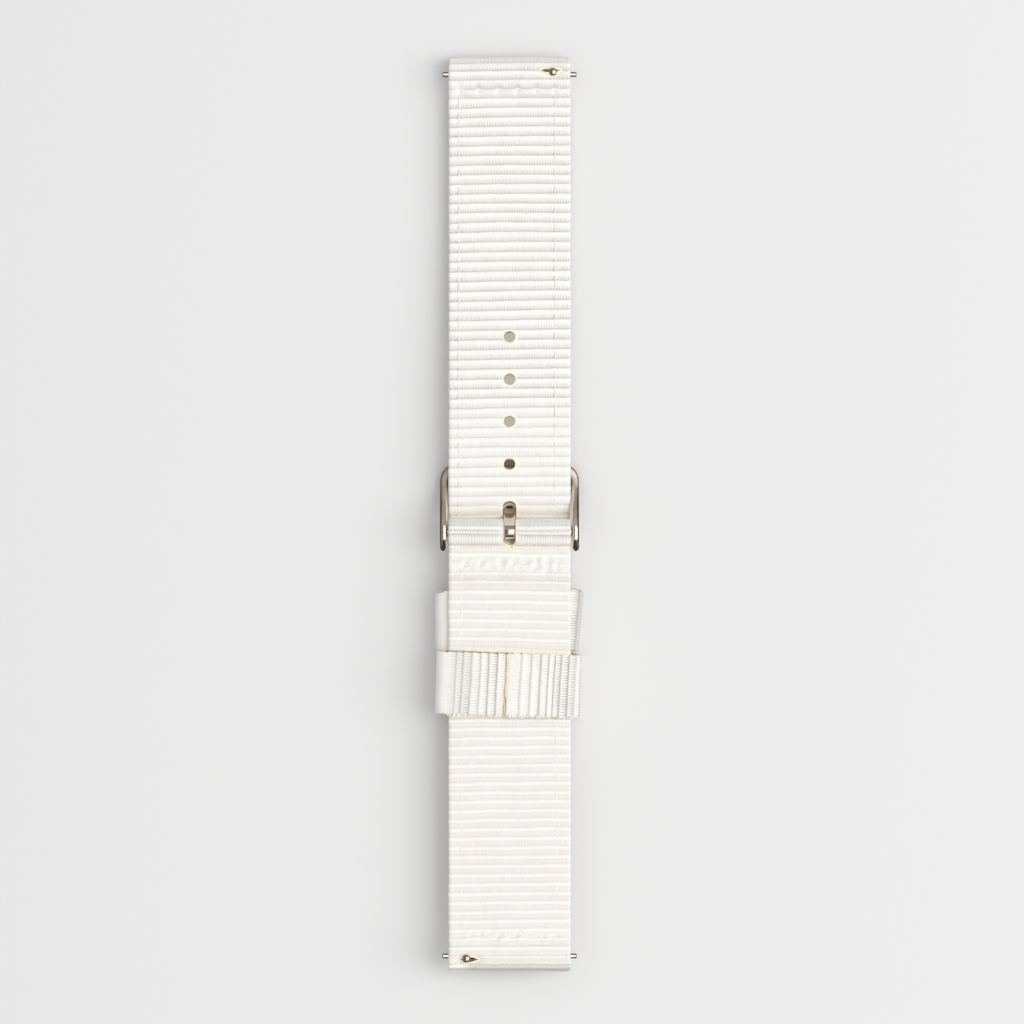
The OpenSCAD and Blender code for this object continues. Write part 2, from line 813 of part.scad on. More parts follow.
long_strap();
short_strap();
fixed_keeper();
floating_keeper();
buckle_frame();
buckle_tang();
buckle_bar_tube();
buckle_bar_spring();
buckle_bar_left_tip();
buckle_bar_right_tip();
long_lug_bar_tube();
long_lug_bar_spring();
long_lug_bar_fixed_tip();
long_lug_bar_release_tip();
long_lug_bar_release_knob();
short_lug_bar_tube();
short_lug_bar_spring();
short_lug_bar_fixed_tip();
short_lug_bar_release_tip();
short_lug_bar_release_knob();
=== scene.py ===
"""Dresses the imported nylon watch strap: ribbed white webbing, heat-sealed holes and polished steel.

The strap is buckled and lies face down. X runs across it, Y along it and Z up, towards its skin
side. Sizes are in millimetres, and a mesh is turned into metres where it is made."""

import math

import bmesh
import bpy
import numpy as np
from mathutils import Matrix, Vector


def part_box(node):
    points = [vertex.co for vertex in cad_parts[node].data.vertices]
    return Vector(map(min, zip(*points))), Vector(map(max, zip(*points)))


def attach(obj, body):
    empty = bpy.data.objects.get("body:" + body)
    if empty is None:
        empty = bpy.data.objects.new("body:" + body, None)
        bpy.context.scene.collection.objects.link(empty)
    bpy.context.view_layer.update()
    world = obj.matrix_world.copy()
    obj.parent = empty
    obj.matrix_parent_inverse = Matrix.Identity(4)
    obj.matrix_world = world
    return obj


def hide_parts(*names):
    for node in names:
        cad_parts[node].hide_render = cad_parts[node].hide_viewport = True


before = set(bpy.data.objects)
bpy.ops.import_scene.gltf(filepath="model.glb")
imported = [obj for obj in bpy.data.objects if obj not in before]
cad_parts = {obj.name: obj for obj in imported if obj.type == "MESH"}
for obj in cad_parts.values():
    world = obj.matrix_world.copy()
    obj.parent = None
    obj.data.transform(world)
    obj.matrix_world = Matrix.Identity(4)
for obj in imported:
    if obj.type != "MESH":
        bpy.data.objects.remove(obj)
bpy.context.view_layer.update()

MM = 0.001


# Sizes that the frame gives


def extent(node, axis):
    """Lowest and highest place of a CAD node along an axis, in millimetres."""
    low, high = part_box(node)
    return low[axis] / MM, high[axis] / MM


def middle(node, axis):
    return sum(extent(node, axis)) / 2


X, Y, Z = 0, 1, 2
half_strap = extent("long_strap", X)[1]
tip_y, long_end_y = extent("long_strap", Y)
short_end_y = extent("short_strap", Y)[0]
bar_y, bar_z = middle("buckle_bar_tube", Y), middle("buckle_bar_tube", Z)
tube_r = extent("buckle_bar_tube", Z)[1] - bar_z
long_lug_z = middle("long_lug_bar_tube", Z)
short_lug_z = middle("short_lug_bar_tube", Z)
long_lug_y = middle("long_lug_bar_tube", Y)
short_lug_y = middle("short_lug_bar_tube", Y)
fixed_far_y, fixed_near_y = extent("fixed_keeper", Y)
floating_far_y, floating_near_y = extent("floating_keeper", Y)
fixed_half, fixed_top = extent("fixed_keeper", X)[1], extent("fixed_keeper", Z)[1]
floating_half, floating_top = extent("floating_keeper", X)[1], extent("floating_keeper", Z)[1]
frame_out_x = extent("buckle_frame", X)[1]
frame_tail_y, outer_bar_y = extent("buckle_frame", Y)
tang_half, tang_tip_y = extent("buckle_tang", X)[1], extent("buckle_tang", Y)[1]

# Webbing
web_t = 1.18
fold_gap = 0.04
tunnel_gap = 0.1
keeper_t = 1.2
keeper_corner = 1.5
long_pitch = 1.606
short_pitch = 1.489
keeper_pitch = 1.495
long_depth = 0.42
short_depth = 0.30
keeper_depth = 0.22
rows_per_rib = 8
column_step = 0.28
inner_relief = 0.25
selvedge_round, keeper_edge_round = 0.45, 0.09
selvedge_share, keeper_edge_share = 0.7, 0.25
thread_pitch = 0.43

# How the straps lie, as in the CAD source
keeper_gap = 0.15
layer_gap = 0.1
trap_gap = 0.05
trap_room = 0.2
metal_gap = 0.15
flare_len = 4.5
sewn_start, sewn_len = 3.3, 3.2
dip_far, dip_near = 7.5, 1.5
rise_start, rise_end = 0.4, 9
droop_start, droop_end = 12.5, 58
loop_near, loop_far = 0.5, 2.75

# Holes and slits
hole_r = 0.95
hole_pitch = 6.95
first_hole = 32.05
hole_count = 7
worn_r = 1.1
worn_hole = 2
worn_front, worn_back = 0.95, 3.2
slit_half_len, slit_half_w = 1.85, 0.50
slit_taper = 2.2
slit_inset = 3.3
slit_lean = 0.42

rim_w = 0.16

# How cut edges are sealed, and how a hole's lower edge gives
seal_lift, lip_deep, lip_reach, slump_reach = -0.08, 0.2, 0.6, 0.35
edge_band = 0.03

# Stitching
stitch_len = 3.0
long_stitch_left, long_stitch_right = -8.3, 7.5
short_stitch_left, short_stitch_right = -7.9, 7.7
thread_w, thread_h = 0.27, 0.07

# Places seen in the photo: rows of stitches, and valleys between ribs, each with its rib number
# (parts of a number are the ends of a crest)
long_valleys = ((49.41, 0), (68.28, 12), (71.28, 14), (72.70, 15))
flap_valleys = (
    (-15.82, 0), (-5.08, 7), (-4.64, 7.62), (-3.85, 7.93), (-3.56, 8), (-3.39, 8.62),
    (-2.97, 8.9), (-2.84, 9), (-2.46, 9.62), (-1.92, 9.9), (-1.80, 10))
back_valleys = ((-49.92, 0), (-72.38, -15), (-73.57, -16), (-74.23, -17), (-75.03, -18))
long_row_y, flap_row_y, short_row_y = 69.4, -8.6, -69.3
loop_valley_y = -5.16
lug_pitch = 1.45
seam_x = -0.25
flap_slant = 0.58
floating_valleys = (-8.72, -7.67, -6.31, -4.82, -3.38, -1.93,
                    1.93, 3.54, 5.10, 6.46, 7.45, 8.43, 9.72, 10.67)
fixed_fold_valley = 10.6

# Buckle
arm_w = 1.25
arm_h = 2.7
outer_bar_t, outer_bar_w = 1.5, 1.7
tang_t, curl_t = 0.7, 0.4
tang_slope = 60
tang_bend = 0.9
tang_gap = 0.05
run_gap = 0.05

strap_t = 2 * web_t + fold_gap
tunnel_r = tube_r + tunnel_gap
bend_r = tunnel_r + web_t / 2
loop_r = tunnel_r + web_t
tail_mid_z = keeper_t + keeper_gap + strap_t / 2
short_mid_z = tail_mid_z + strap_t + layer_gap
front_mid_z = short_mid_z - (fold_gap + web_t) / 2
back_mid_z = short_mid_z + (fold_gap + web_t) / 2
dip = front_mid_z - (bar_z - bend_r)
flap_mid_z = front_mid_z + web_t + 2 * trap_gap + keeper_t
tang_mid_z = tang_gap + tang_t / 2
outer_bar_z = tang_mid_z + tang_t / 2 + tang_gap + outer_bar_t / 2
over_bar_z = outer_bar_z + outer_bar_t / 2 + metal_gap + strap_t / 2


# Curves and uneven values


def ease(u):
    """0 below 0, 1 above 1, and smooth between."""
    u = np.clip(u, 0, 1)
    return u * u * (3 - 2 * u)


def about(value, centre, reach):
    """1 at a place, and smoothly less away from it over this reach."""
    return np.exp(-(((value - centre) / reach) ** 2))


def drift(seed, length, *places):
    """Smooth random values, mostly from -1 to 1, that change over about this length."""
    rng = np.random.default_rng(seed)
    waves, turns_per_length = 10, 3
    total = 0
    for _ in range(waves):
        way = rng.normal(size=len(places))
        along = sum(w * p for w, p in zip(way, places)) * turns_per_length / length
        total = total + np.cos(along + rng.uniform(0, 2 * math.pi))
    return total / math.sqrt(waves)


def cushion(turn):
    """Height of a rib over its pitch, 0 to 1: a short steep rise and a long round fall."""
    t = turn % 1
    rise = 0.15
    up = np.sqrt(np.clip(1 - (1 - t / rise) ** 2, 0, 1))
    down = 1 - (np.clip(t - rise, 0, 1) / (1 - rise)) ** 2
    return np.where(t < rise, up, down)


def ridge(turn):
    """Height of a rib over its pitch, 0 to 1: a narrow ridge beside a broad low back."""
    t = turn % 1
    back_share, crest, crest_w, steepness = 0.45, 0.22, 0.17, 2.6
    back = np.sqrt(np.clip(np.sin(math.pi * t), 0, 1))
    narrow = np.exp(-((np.abs(t - crest) / crest_w) ** steepness))
    return back_share * back + (1 - back_share) * narrow


# The lines that the webbing follows


def long_z(y):
    """Height of the middle of the long strap."""
    return (
        tail_mid_z
        - dip * ease((y - bar_y + dip_far) / (dip_far - dip_near))
        + (over_bar_z - tail_mid_z + dip) * ease((y - bar_y - rise_start) / (rise_end - rise_start))
        - (over_bar_z - long_lug_z) * ease((y - bar_y - droop_start) / (droop_end - droop_start))
    )


def front_z(y):
    """Height of the middle of the short strap's front layer."""
    return front_mid_z - dip * ease((y - bar_y + dip_far) / (dip_far - dip_near))


def flap_z(y):
    """Height of the middle of the flap, which is sewn down between the loop and the keeper."""
    sewn = front_z(y) + web_t + fold_gap
    on_loop = ease((y - bar_y + loop_far) / (loop_far - loop_near))
    keeper_edge = fixed_near_y + trap_room
    sewn_far = bar_y - sewn_start - sewn_len
    on_keeper = ease((sewn_far - y) / (sewn_far - keeper_edge))
    return sewn + (bar_z + bend_r - sewn) * on_loop + (flap_mid_z - sewn) * on_keeper


def parting(y, lug_y):
    """Half the room between the layers, which part round the lug bar."""
    apart = ease(1 - (abs(lug_y) - np.abs(y)) / flare_len)
    return fold_gap / 2 + (tunnel_r - fold_gap / 2) * apart


def beside(height, ys, distance):
    """Points beside a height line at these places, square off it."""
    z = height(ys)
    slope = np.gradient(z, ys)
    length = np.hypot(1, slope)
    return np.column_stack([ys - distance * slope / length, z + distance / length])


def arc(centre, r, start, end, steps=24):
    """Points round a centre, without the first and last."""
    turn = np.radians(np.linspace(start, end, steps + 1)[1:-1])
    return np.column_stack([centre[0] + r * np.cos(turn), centre[1] + r * np.sin(turn)])


def run(start, end, step=0.15):
    """Places from start to end, about a step apart."""
    return np.linspace(start, end, int(abs(end - start) / step) + 2)


def long_line():
    """From the tip along the skin side, round the lug bar, and back to the tip."""
    fold_y = long_end_y - loop_r
    ys = run(tip_y, fold_y)
    off = parting(ys, long_lug_y) + web_t / 2
    skin = beside(long_z, ys, off)
    front = beside(long_z, ys, -off)[::-1]
    return np.vstack([skin, arc((fold_y, long_lug_z), bend_r, 90, -90), front])


def short_line():
    """From the flap's cut end, round the buckle bar, along the front, and back over the lug bar."""
    fold_y = short_end_y + loop_r
    flap_ys, front_ys = run(fixed_far_y + trap_gap, bar_y), run(bar_y, fold_y)
    back_ys = run(fold_y, fixed_far_y - trap_gap)
    open_by = parting(front_ys, short_lug_y) - fold_gap / 2
    front = beside(front_z, front_ys, 0) - np.column_stack([0 * front_ys, open_by])
    raised = back_mid_z + parting(back_ys, short_lug_y) - fold_gap / 2
    return np.vstack([
        beside(flap_z, flap_ys, 0),
        arc((bar_y, bar_z), bend_r, 90, -90),
        front,
        arc((fold_y, short_lug_z), bend_r, -90, -270),
        np.column_stack([back_ys, raised]),
    ])


def keeper_line(half, top, start_x, gap):
    """Round a keeper's ring from a butt seam on top, towards +X."""
    r = keeper_corner - keeper_t / 2
    out_x, low, high = half - keeper_t / 2, keeper_t / 2, top - keeper_t / 2
    in_x = out_x - r

    def level(x0, x1, z):
        return np.column_stack([run(x0, x1), 0 * run(x0, x1) + z])

    def upright(x, z0, z1):
        return level(z0, z1, x)[:, ::-1]

    return np.vstack([
        level(start_x + gap / 2, in_x, high),
        arc((in_x, high - r), r, 90, 0),
        upright(out_x, high - r, low + r),
        arc((in_x, low + r), r, 0, -90),
        level(in_x, -in_x, low),
        arc((-in_x, low + r), r, -90, -180),
        upright(-out_x, low + r, high - r),
        arc((-in_x, high - r), r, 180, 90),
        level(-in_x, start_x - gap / 2, high),
    ])


# Meshes


def in_scene(name, data):
    """A new object in the scene, with this mesh, lamp or camera."""
    made = bpy.data.objects.new(name, data)
    bpy.context.scene.collection.objects.link(made)
    return made


def from_solid(name, solid, finish):
    """A mesh in the scene from a solid that was made edge by edge, with its sharp edges kept."""
    mesh = bpy.data.meshes.new(name)
    solid.to_mesh(mesh)
    solid.free()
    mesh.materials.append(finish)
    mesh.shade_smooth()
    mesh.set_sharp_from_angle(angle=math.radians(sharp_edge))
    return in_scene(name, mesh)


far_off = 9.0  # a gap this wide is as good as no cut
sharp_edge, sharp_cut = 50, 62  # an edge stays sharp from this many degrees, on metal and webbing


def make_mesh(name, points, faces, finish, flip=False):
    """A smooth mesh of points in millimetres and four-sided faces, in one material."""
    mesh = bpy.data.meshes.new(name)
    points = np.asarray(points, float).reshape(-1, 3) * MM
    faces = np.asarray(faces, np.int32).reshape(-1, 4)
    if flip:
        faces = faces[:, ::-1]
    mesh.vertices.add(len(points))
    mesh.vertices.foreach_set("co", points.astype(np.float32).ravel())
    mesh.loops.add(faces.size)
    mesh.loops.foreach_set("vertex_index", np.ascontiguousarray(faces).ravel())
    mesh.polygons.add(len(faces))
    mesh.polygons.foreach_set("loop_start", np.arange(0, faces.size, 4, dtype=np.int32))
    mesh.materials.append(finish)
    mesh.update(calc_edges=True)
    mesh.shade_smooth()
    return in_scene(name, mesh)


def store(piece, name, values, kind="FLOAT_VECTOR"):
    """Keeps values on a mesh's points for its material."""
    field = {"FLOAT_VECTOR": "vector", "FLOAT": "value"}[kind]
    attribute = piece.data.attributes.new(name, kind, "POINT")
    attribute.data.foreach_set(field, np.asarray(values, np.float32).ravel())


class Webbing:
    """A length of ribbed webbing. s runs along it from its first end and b across it."""

    def __init__(self, line, half, thickness, depth, form, lies="along"):
        keep = np.r_[True, np.hypot(*np.diff(line, axis=0).T) > 1e-4]
        self.line = line[keep]
        self.marks = np.r_[0, np.cumsum(np.hypot(*np.diff(self.line, axis=0).T))]
        self.length = self.marks[-1]
        along = np.gradient(self.line, self.marks, axis=0)
        self.heading = np.unwrap(np.arctan2(along[:, 1], along[:, 0]))
        self.half, self.thickness, self.depth = half, thickness, depth
        self.form, self.lies = form, lies
        self.way = -1 if lies == "along" else 1
        self.ribs = None
        self.skew = lambda s, b: 0
        self.press = lambda s, b: 0
        self.soften = lambda s, b: 1
        self.pull = lambda s, b: 0
        self.slump = lambda s, points, from_cut: points
        self.soil_and_shade = self.teeth = self.shade = self.painted_light = lambda s, b: 0
        self.hidden_from, self.hidden_to = self.length * 0.5, self.length
        self.round = selvedge_round if lies == "along" else keeper_edge_round
        self.rounded = selvedge_share if lies == "along" else keeper_edge_share

    def where(self, s):
        """Place along the strap, height and heading of the line."""
        return tuple(np.interp(s, self.marks, values) for values in (*self.line.T, self.heading))

    def mark(self, a, first, last):
        """The place along the webbing, between two others, where its line passes a."""
        pick = (self.marks >= first) & (self.marks <= last)
        marks, way = self.marks[pick], self.line[pick, 0]
        order = np.argsort(way)
        return np.interp(a, way[order], marks[order])

    def between(self, first, last):
        """Turns a place that the line passes between two marks into its mark."""
        return lambda a: self.mark(a, first, last)

    def mark_on_fold(self, y, fold_y, fold_mark):
        """The place on a half turn that begins at fold_y where the outer face reaches y."""
        ahead = 1 if fold_mark < self.length / 2 else -1
        return fold_mark + ahead * bend_r * math.asin(abs(y - fold_y) / loop_r)

    def turn(self, s):
        """The rib's number at s, with its part."""
        return np.interp(s, self.ribs[0], self.ribs[1])

    def follow(self, *seen):
        """Sets the rib numbers at places along the webbing."""
        self.ribs = tuple(np.array(values) for values in zip(*sorted(seen)))

    def rib(self, s):
        """Height of the ribs, 0 to 1."""
        return self.form(self.way * self.turn(s))

    def edge(self, b):
        """1 inside, and less towards the round selvedges."""
        u = np.clip((self.half - np.abs(b)) / self.round, 0, 1)
        return 1 - self.rounded * (1 - np.sqrt(1 - (1 - u) ** 2))

    def lift(self, s, b, side=1):
        """Height of a face over the webbing's middle line, -1 being its inner face."""
        drop = self.depth * (1 - self.rib(s)) * self.soften(s, b)
        if side < 0:
            drop = drop * inner_relief
        return side * self.edge(b) * (self.thickness / 2 - drop - self.press(s, b) * (side > 0))

    def ordered(self, b, a, z):
        return np.stack((b, a, z) if self.lies == "along" else (a, b, z), axis=-1)

    def place(self, s, b, lift):
        """Points at s and b, lifted off the middle line towards the outer face."""
        s, b, lift = np.broadcast_arrays(*(np.asarray(v, float) for v in (s, b, lift)))
        a, z, heading = self.where(s + self.skew(s, b))
        return self.ordered(b, a - lift * np.sin(heading), z + lift * np.cos(heading))

    def outward(self, s, b):
        """The way out of the outer face."""
        heading = self.where(s + self.skew(s, b))[2]
        return self.ordered(0 * heading, -np.sin(heading), np.cos(heading))

    def rows(self):
        """Places along the webbing, as many on each rib."""
        first, last = self.turn(0), self.turn(self.length)
        steps = np.arange(math.ceil(first * rows_per_rib), math.floor(last * rows_per_rib) + 1)
        inside = np.interp(steps / rows_per_rib, self.ribs[1], self.ribs[0])
        apart = 0.03
        inside = inside[(inside > apart) & (inside < self.length - apart)]
        return np.r_[0, inside, self.length]

    def columns(self):
        """Places across the webbing, closer together round its edges."""
        flat = self.half - self.round
        inner = np.linspace(-flat, flat, int(round(2 * flat / column_step)) + 1)
        rim = self.half - self.round * np.array([0, 0.08, 0.3, 0.62])
        return np.r_[-rim, inner, rim[::-1]]

    def piece(self, name, finish, cuts=(), seed=1, scallop=0.07):
        """The webbing's mesh, with cuts through it. A cut is (gap, first, last): the gap in
        millimetres from a point seen from above, negative in the cut, between two places."""
        rows, columns = self.rows(), self.columns()
        s, b = np.meshgrid(rows, columns, indexing="ij")

        def gap(s, b):
            found = np.full(np.shape(s), far_off)
            a, _, _ = self.where(s + self.skew(s, b))
            for shape, first, last in cuts:
                here = (s >= first) & (s <= last)
                found = np.where(here, np.minimum(found, shape(a, b)), found)
            return found

        centre = [(v[:-1, :-1] + v[1:, :-1] + v[:-1, 1:] + v[1:, 1:]) / 4 for v in (s, b)]
        kept = gap(*centre) > 0
        near = np.zeros((len(rows) + 1, len(columns) + 1), int)
        near[1:-1, 1:-1] = np.where(kept, 1, 2)
        around = [near[:-1, :-1], near[1:, :-1], near[:-1, 1:], near[1:, 1:]]
        on_cut = (sum(v == 1 for v in around) > 0) & (sum(v == 2 for v in around) > 0)
        step, furthest, least_slope = 0.02, 0.3, 0.2
        for _ in range(3):  # points beside a cut move onto its edge
            g = gap(s, b)[on_cut]
            gs = (gap(s + step, b)[on_cut] - gap(s - step, b)[on_cut]) / (2 * step)
            gb = (gap(s, b + step)[on_cut] - gap(s, b - step)[on_cut]) / (2 * step)
            size = np.maximum(gs**2 + gb**2, least_slope)
            s[on_cut] -= np.clip(g * gs / size, -furthest, furthest)
            b[on_cut] -= np.clip(g * gb / size, -furthest, furthest)
        rib = self.rib(s)
        bulge = np.clip(1 - (self.half - np.abs(b)) / (2 * self.round), 0, 1)
        fine, broad, ragged, rib_level = 0.012, 0.02, 0.03, 0.6
        uneven = drift(seed, 0.5, s, b) * fine + drift(seed + 1, 3, s, b) * broad
        ragged = ragged * drift(seed + 2, 4, s, b)
        wide = b + np.sign(b) * bulge * (scallop * (rib - rib_level) + ragged) + self.pull(s, b)
        near_cut = np.clip(gap(s, b), 0, far_off)
        face = self.lift(s, b) + uneven * self.edge(b)
        outer = self.slump(s, self.place(s, wide, face), near_cut)
        inner = self.slump(s, self.place(s, wide, self.lift(s, b, -1)), near_cut)
        n, m = s.shape
        index = np.arange(n * m).reshape(n, m)

        def corners(di, dj):
            return index[di : n - 1 + di, dj : m - 1 + dj]

        c00, c10, c01, c11 = corners(0, 0), corners(1, 0), corners(0, 1), corners(1, 1)
        top = np.stack([c00, c01, c11, c10], -1)[kept]
        low = np.stack([c10, c11, c01, c00], -1)[kept] + n * m
        pad = np.zeros((n + 1, m + 1), bool)
        pad[1:-1, 1:-1] = kept
        sides = []
        for open_side, p, q in (
            (~pad[:-2, 1:-1], c00, c01),
            (~pad[2:, 1:-1], c11, c10),
            (~pad[1:-1, :-2], c10, c00),
            (~pad[1:-1, 2:], c01, c11),
        ):
            wall = kept & open_side
            p, q = p[wall], q[wall]
            sides.append(np.stack([p, p + n * m, q + n * m, q], -1))
        walls = np.concatenate(sides)
        faces = np.concatenate([top, low, walls])
        used = np.zeros(2 * n * m, bool)
        used[faces.ravel()] = True
        renumber = np.cumsum(used) - 1
        points = np.concatenate([outer.reshape(-1, 3), inner.reshape(-1, 3)])[used]
        piece = make_mesh(name, points, renumber[faces], finish, flip=self.lies != "along")
        ends = np.minimum(s, self.length - s)
        melted = np.maximum(about(near_cut, 0, 0.5), about(ends, 0, 0.4))
        shown = self.soften(s, b) + 0 * s
        weave = np.stack([b, self.way * self.turn(s), shown], -1).reshape(-1, 3)
        lower = weave * (1, 1, 0.4)  # threads show less on the inner face
        store(piece, "weave", np.concatenate([weave, lower])[used])
        for label, values in (("melted", melted), ("painted_light", self.painted_light(s, b) + 0 * s)):
            store(piece, label, np.tile(values.ravel(), 2)[used], "FLOAT")
        marks = [made(s, b) + 0 * s for made in (self.soil_and_shade, self.teeth, self.shade)]
        marks = np.stack(marks, -1).reshape(-1, 3)
        # Cut walls and the inner face by a cut take a tan of melted nylon and a painted shade.
        tan_and_shade_in_cut, shade_in_cut = 0.95, 0.68
        cut_tan_and_shade = about(near_cut.ravel(), 0, 0.3)[:, None] * (tan_and_shade_in_cut, 0, shade_in_cut)
        hidden = (s.ravel() > self.hidden_from)[:, None] & (s.ravel() < self.hidden_to)[:, None]
        outside = np.where(hidden, np.maximum(marks, cut_tan_and_shade), marks)
        store(piece, "marks", np.concatenate([outside, np.maximum(marks, cut_tan_and_shade)])[used])
        piece.data.set_sharp_from_angle(angle=math.radians(sharp_cut))
        return piece


def bead(webbing, name, path, finish, lift, across, high, closed=False, seed=5, rough=0.2):
    """A bead of melted nylon along a path of (s, b) points on a webbing's outer face."""
    s, b = np.asarray(path, float).T
    centre = webbing.place(s, b, webbing.lift(s, b) + lift)
    out = webbing.outward(s, b)
    ahead = np.roll(centre, -1, 0) - np.roll(centre, 1, 0)
    if not closed:
        ahead[0], ahead[-1] = centre[1] - centre[0], centre[-1] - centre[-2]
    side = np.cross(ahead, out)
    side /= np.linalg.norm(side, axis=1)[:, None]
    around, lump = 10, 0.8
    turns = np.radians(np.arange(around) * 360 / around)
    size = 1 + rough * drift(seed, lump, centre[:, 0], centre[:, 1])[:, None]
    ring = (
        centre[:, None]
        + side[:, None] * (across * size * np.cos(turns))[..., None]
        + out[:, None] * (high * size * np.sin(turns))[..., None]
    )
    count, faces = len(centre), []
    for i in range(count if closed else count - 1):
        j = (i + 1) % count
        for k in range(around):
            q = (k + 1) % around
            faces.append([i * around + k, j * around + k, j * around + q, i * around + q])
    points = ring.reshape(-1, 3)
    if not closed:
        points = np.vstack([points, centre[0], centre[-1]])
        first, last = count * around, count * around + 1
        for k in range(0, around, 2):
            q, r = (k + 1) % around, (k + 2) % around
            faces.append([first, k, q, r])
            base = (count - 1) * around
            faces.append([last, base + r, base + q, base + k])
    return make_mesh(name, points, faces, finish)


def joined(name, parts):
    """One piece made of several."""
    first = parts[0]
    with bpy.context.temp_override(
        active_object=first, selected_editable_objects=parts, selected_objects=parts
    ):
        bpy.ops.object.join()
    first.name = name
    return first


def tubes(name, centre, out, wide, high, around, finish):
    """A bundle of thread ends or stitches. centre has the points of each, out the way up."""
    side = np.cross(np.gradient(centre, axis=1), out)
    side /= np.linalg.norm(side, axis=-1)[..., None]
    turns = np.linspace(0, 2 * math.pi, around, endpoint=False)
    wide, high = (np.broadcast_to(size, centre.shape[:2])[..., None] for size in (wide, high))
    ring = (
        centre[:, :, None]
        + side[:, :, None] * (wide * np.cos(turns))[..., None]
        + out[:, :, None] * (high * np.sin(turns))[..., None]
    )
    index = np.arange(ring.size // 3).reshape(ring.shape[:3])
    near, far = index[:, :-1], index[:, 1:]
    faces = np.stack([near, far, np.roll(far, -1, 2), np.roll(near, -1, 2)], -1)
    return make_mesh(name, ring, faces, finish)


def stitches(webbing, name, ways, finish, follow):
    """Sewing thread laid on a webbing's outer face. A way is (s, b, s, b) for one stitch, and
    follow is how far its thread goes down between the ribs, 0 to 1."""
    ways = np.asarray(ways, float)
    t = np.linspace(0, 1, 20)
    s = ways[:, 0:1] + (ways[:, 2:3] - ways[:, 0:1]) * t
    b = ways[:, 1:2] + (ways[:, 3:4] - ways[:, 1:2]) * t
    sunk, arch, end_dive, around, ply_lean = 0.05, 0.04, 0.5, 8, 0.05
    sag = follow * webbing.depth * (1 - webbing.rib(s)) * webbing.soften(s, b)
    high = webbing.thickness / 2 - sunk - webbing.press(s, b) - sag
    lift = high + arch * np.sin(math.pi * t) ** 0.5 - end_dive * np.abs(2 * t - 1) ** 8
    centre = webbing.place(s, b, lift)
    piece = tubes(name, centre, webbing.outward(s, b), thread_w / 2, thread_h / 2, around, finish)
    turns = np.linspace(0, 2 * math.pi, around, endpoint=False)
    twist = t[None, :, None] * stitch_len + turns * ply_lean + np.zeros((len(ways), 1, 1))
    store(piece, "twist", twist.ravel(), "FLOAT")
    return piece


def pinch(ways, b_reach=0.35, s_reach=0.35, deep=0.13):
    """How far stitches press a webbing in, near where they go down into it."""
    ways = np.asarray(ways, float)
    holes = np.vstack([ways[:, :2], ways[:, 2:]])

    def press(s, b):
        s, b = np.asarray(s, float), np.asarray(b, float)
        total = np.zeros(np.broadcast(s, b).shape)
        for hs, hb in holes:
            total = np.maximum(total, about(s, hs, s_reach) * about(b, hb, b_reach))
        return deep * total

    return press


# Shader groups


class Nodes:
    """A node tree that is filled a node at a time."""

    def __init__(self, tree):
        self.tree = tree

    def add(self, kind, **settings):
        node = self.tree.nodes.new(kind)
        for key, value in settings.items():
            setattr(node, key, value)
        return node

    def link(self, source, target):
        self.tree.links.new(source, target)

    def fill(self, socket, value):
        if isinstance(value, bpy.types.NodeSocket):
            self.link(value, socket)
        elif value is not None:
            socket.default_value = value

    def math(self, operation, a, b=None, c=None, clamp=False):
        node = self.add("ShaderNodeMath", operation=operation, use_clamp=clamp)
        for socket, value in zip(node.inputs, (a, b, c)):
            self.fill(socket, value)
        return node.outputs[0]

    def times(self, a, b, clamp=False):
        return self.math("MULTIPLY", a, b, clamp=clamp)

    def plus(self, a, b):
        return self.math("ADD", a, b)

    def absolute(self, value):
        return self.math("ABSOLUTE", value)

    def split(self, vector):
        """The X, Y and Z of a vector."""
        node = self.add("ShaderNodeSeparateXYZ")
        self.link(vector, node.inputs[0])
        return node.outputs

    def vector(self, x, y):
        node = self.add("ShaderNodeCombineXYZ")
        self.set(node, {"X": x, "Y": y})
        return node.outputs[0]

    def stretched(self, vector, by):
        node = self.add("ShaderNodeVectorMath", operation="MULTIPLY")
        self.link(vector, node.inputs[0])
        self.link(by, node.inputs[1])
        return node.outputs[0]

    def set(self, node, values):
        """Sets a node's inputs by name, or links them."""
        for name, value in values.items():
            self.fill(node.inputs[name], value)

    def mix(self, share, a, b):
        node = self.add("ShaderNodeMix", data_type="RGBA", blend_type="MIX")
        self.fill(node.inputs["Factor"], share)
        for name, value in (("A", a), ("B", b)):
            socket = [s for s in node.inputs if s.name == name and s.type == "RGBA"][0]
            self.fill(socket, value)
        return [s for s in node.outputs if s.type == "RGBA"][0]

    def noise(self, vector, scale, detail=3.0, roughness=0.55):
        node = self.add("ShaderNodeTexNoise")
        self.set(node, {"Vector": vector, "Scale": scale, "Detail": detail, "Roughness": roughness})
        return node.outputs["Fac"]

    def spread(self, value, low, high, to_low=0.0, to_high=1.0):
        """Turns the range from low to high into the range from to_low to to_high."""
        node = self.add("ShaderNodeMapRange", clamp=True)
        self.set(node, {"Value": value, "From Min": low, "From Max": high,
                        "To Min": to_low, "To Max": to_high})
        return node.outputs["Result"]

    def ramp(self, value, stops):
        """Colours at places along a value from 0 to 1."""
        node = self.add("ShaderNodeValToRGB")
        self.fill(node.inputs["Fac"], value)
        points = node.color_ramp.elements
        while len(points) < len(stops):
            points.new(0.5)
        for point, (at, colour) in zip(points, stops):
            point.position, point.color = at, colour
        return node.outputs["Color"]

    def place(self):
        return self.add("ShaderNodeTexCoord").outputs["Object"]


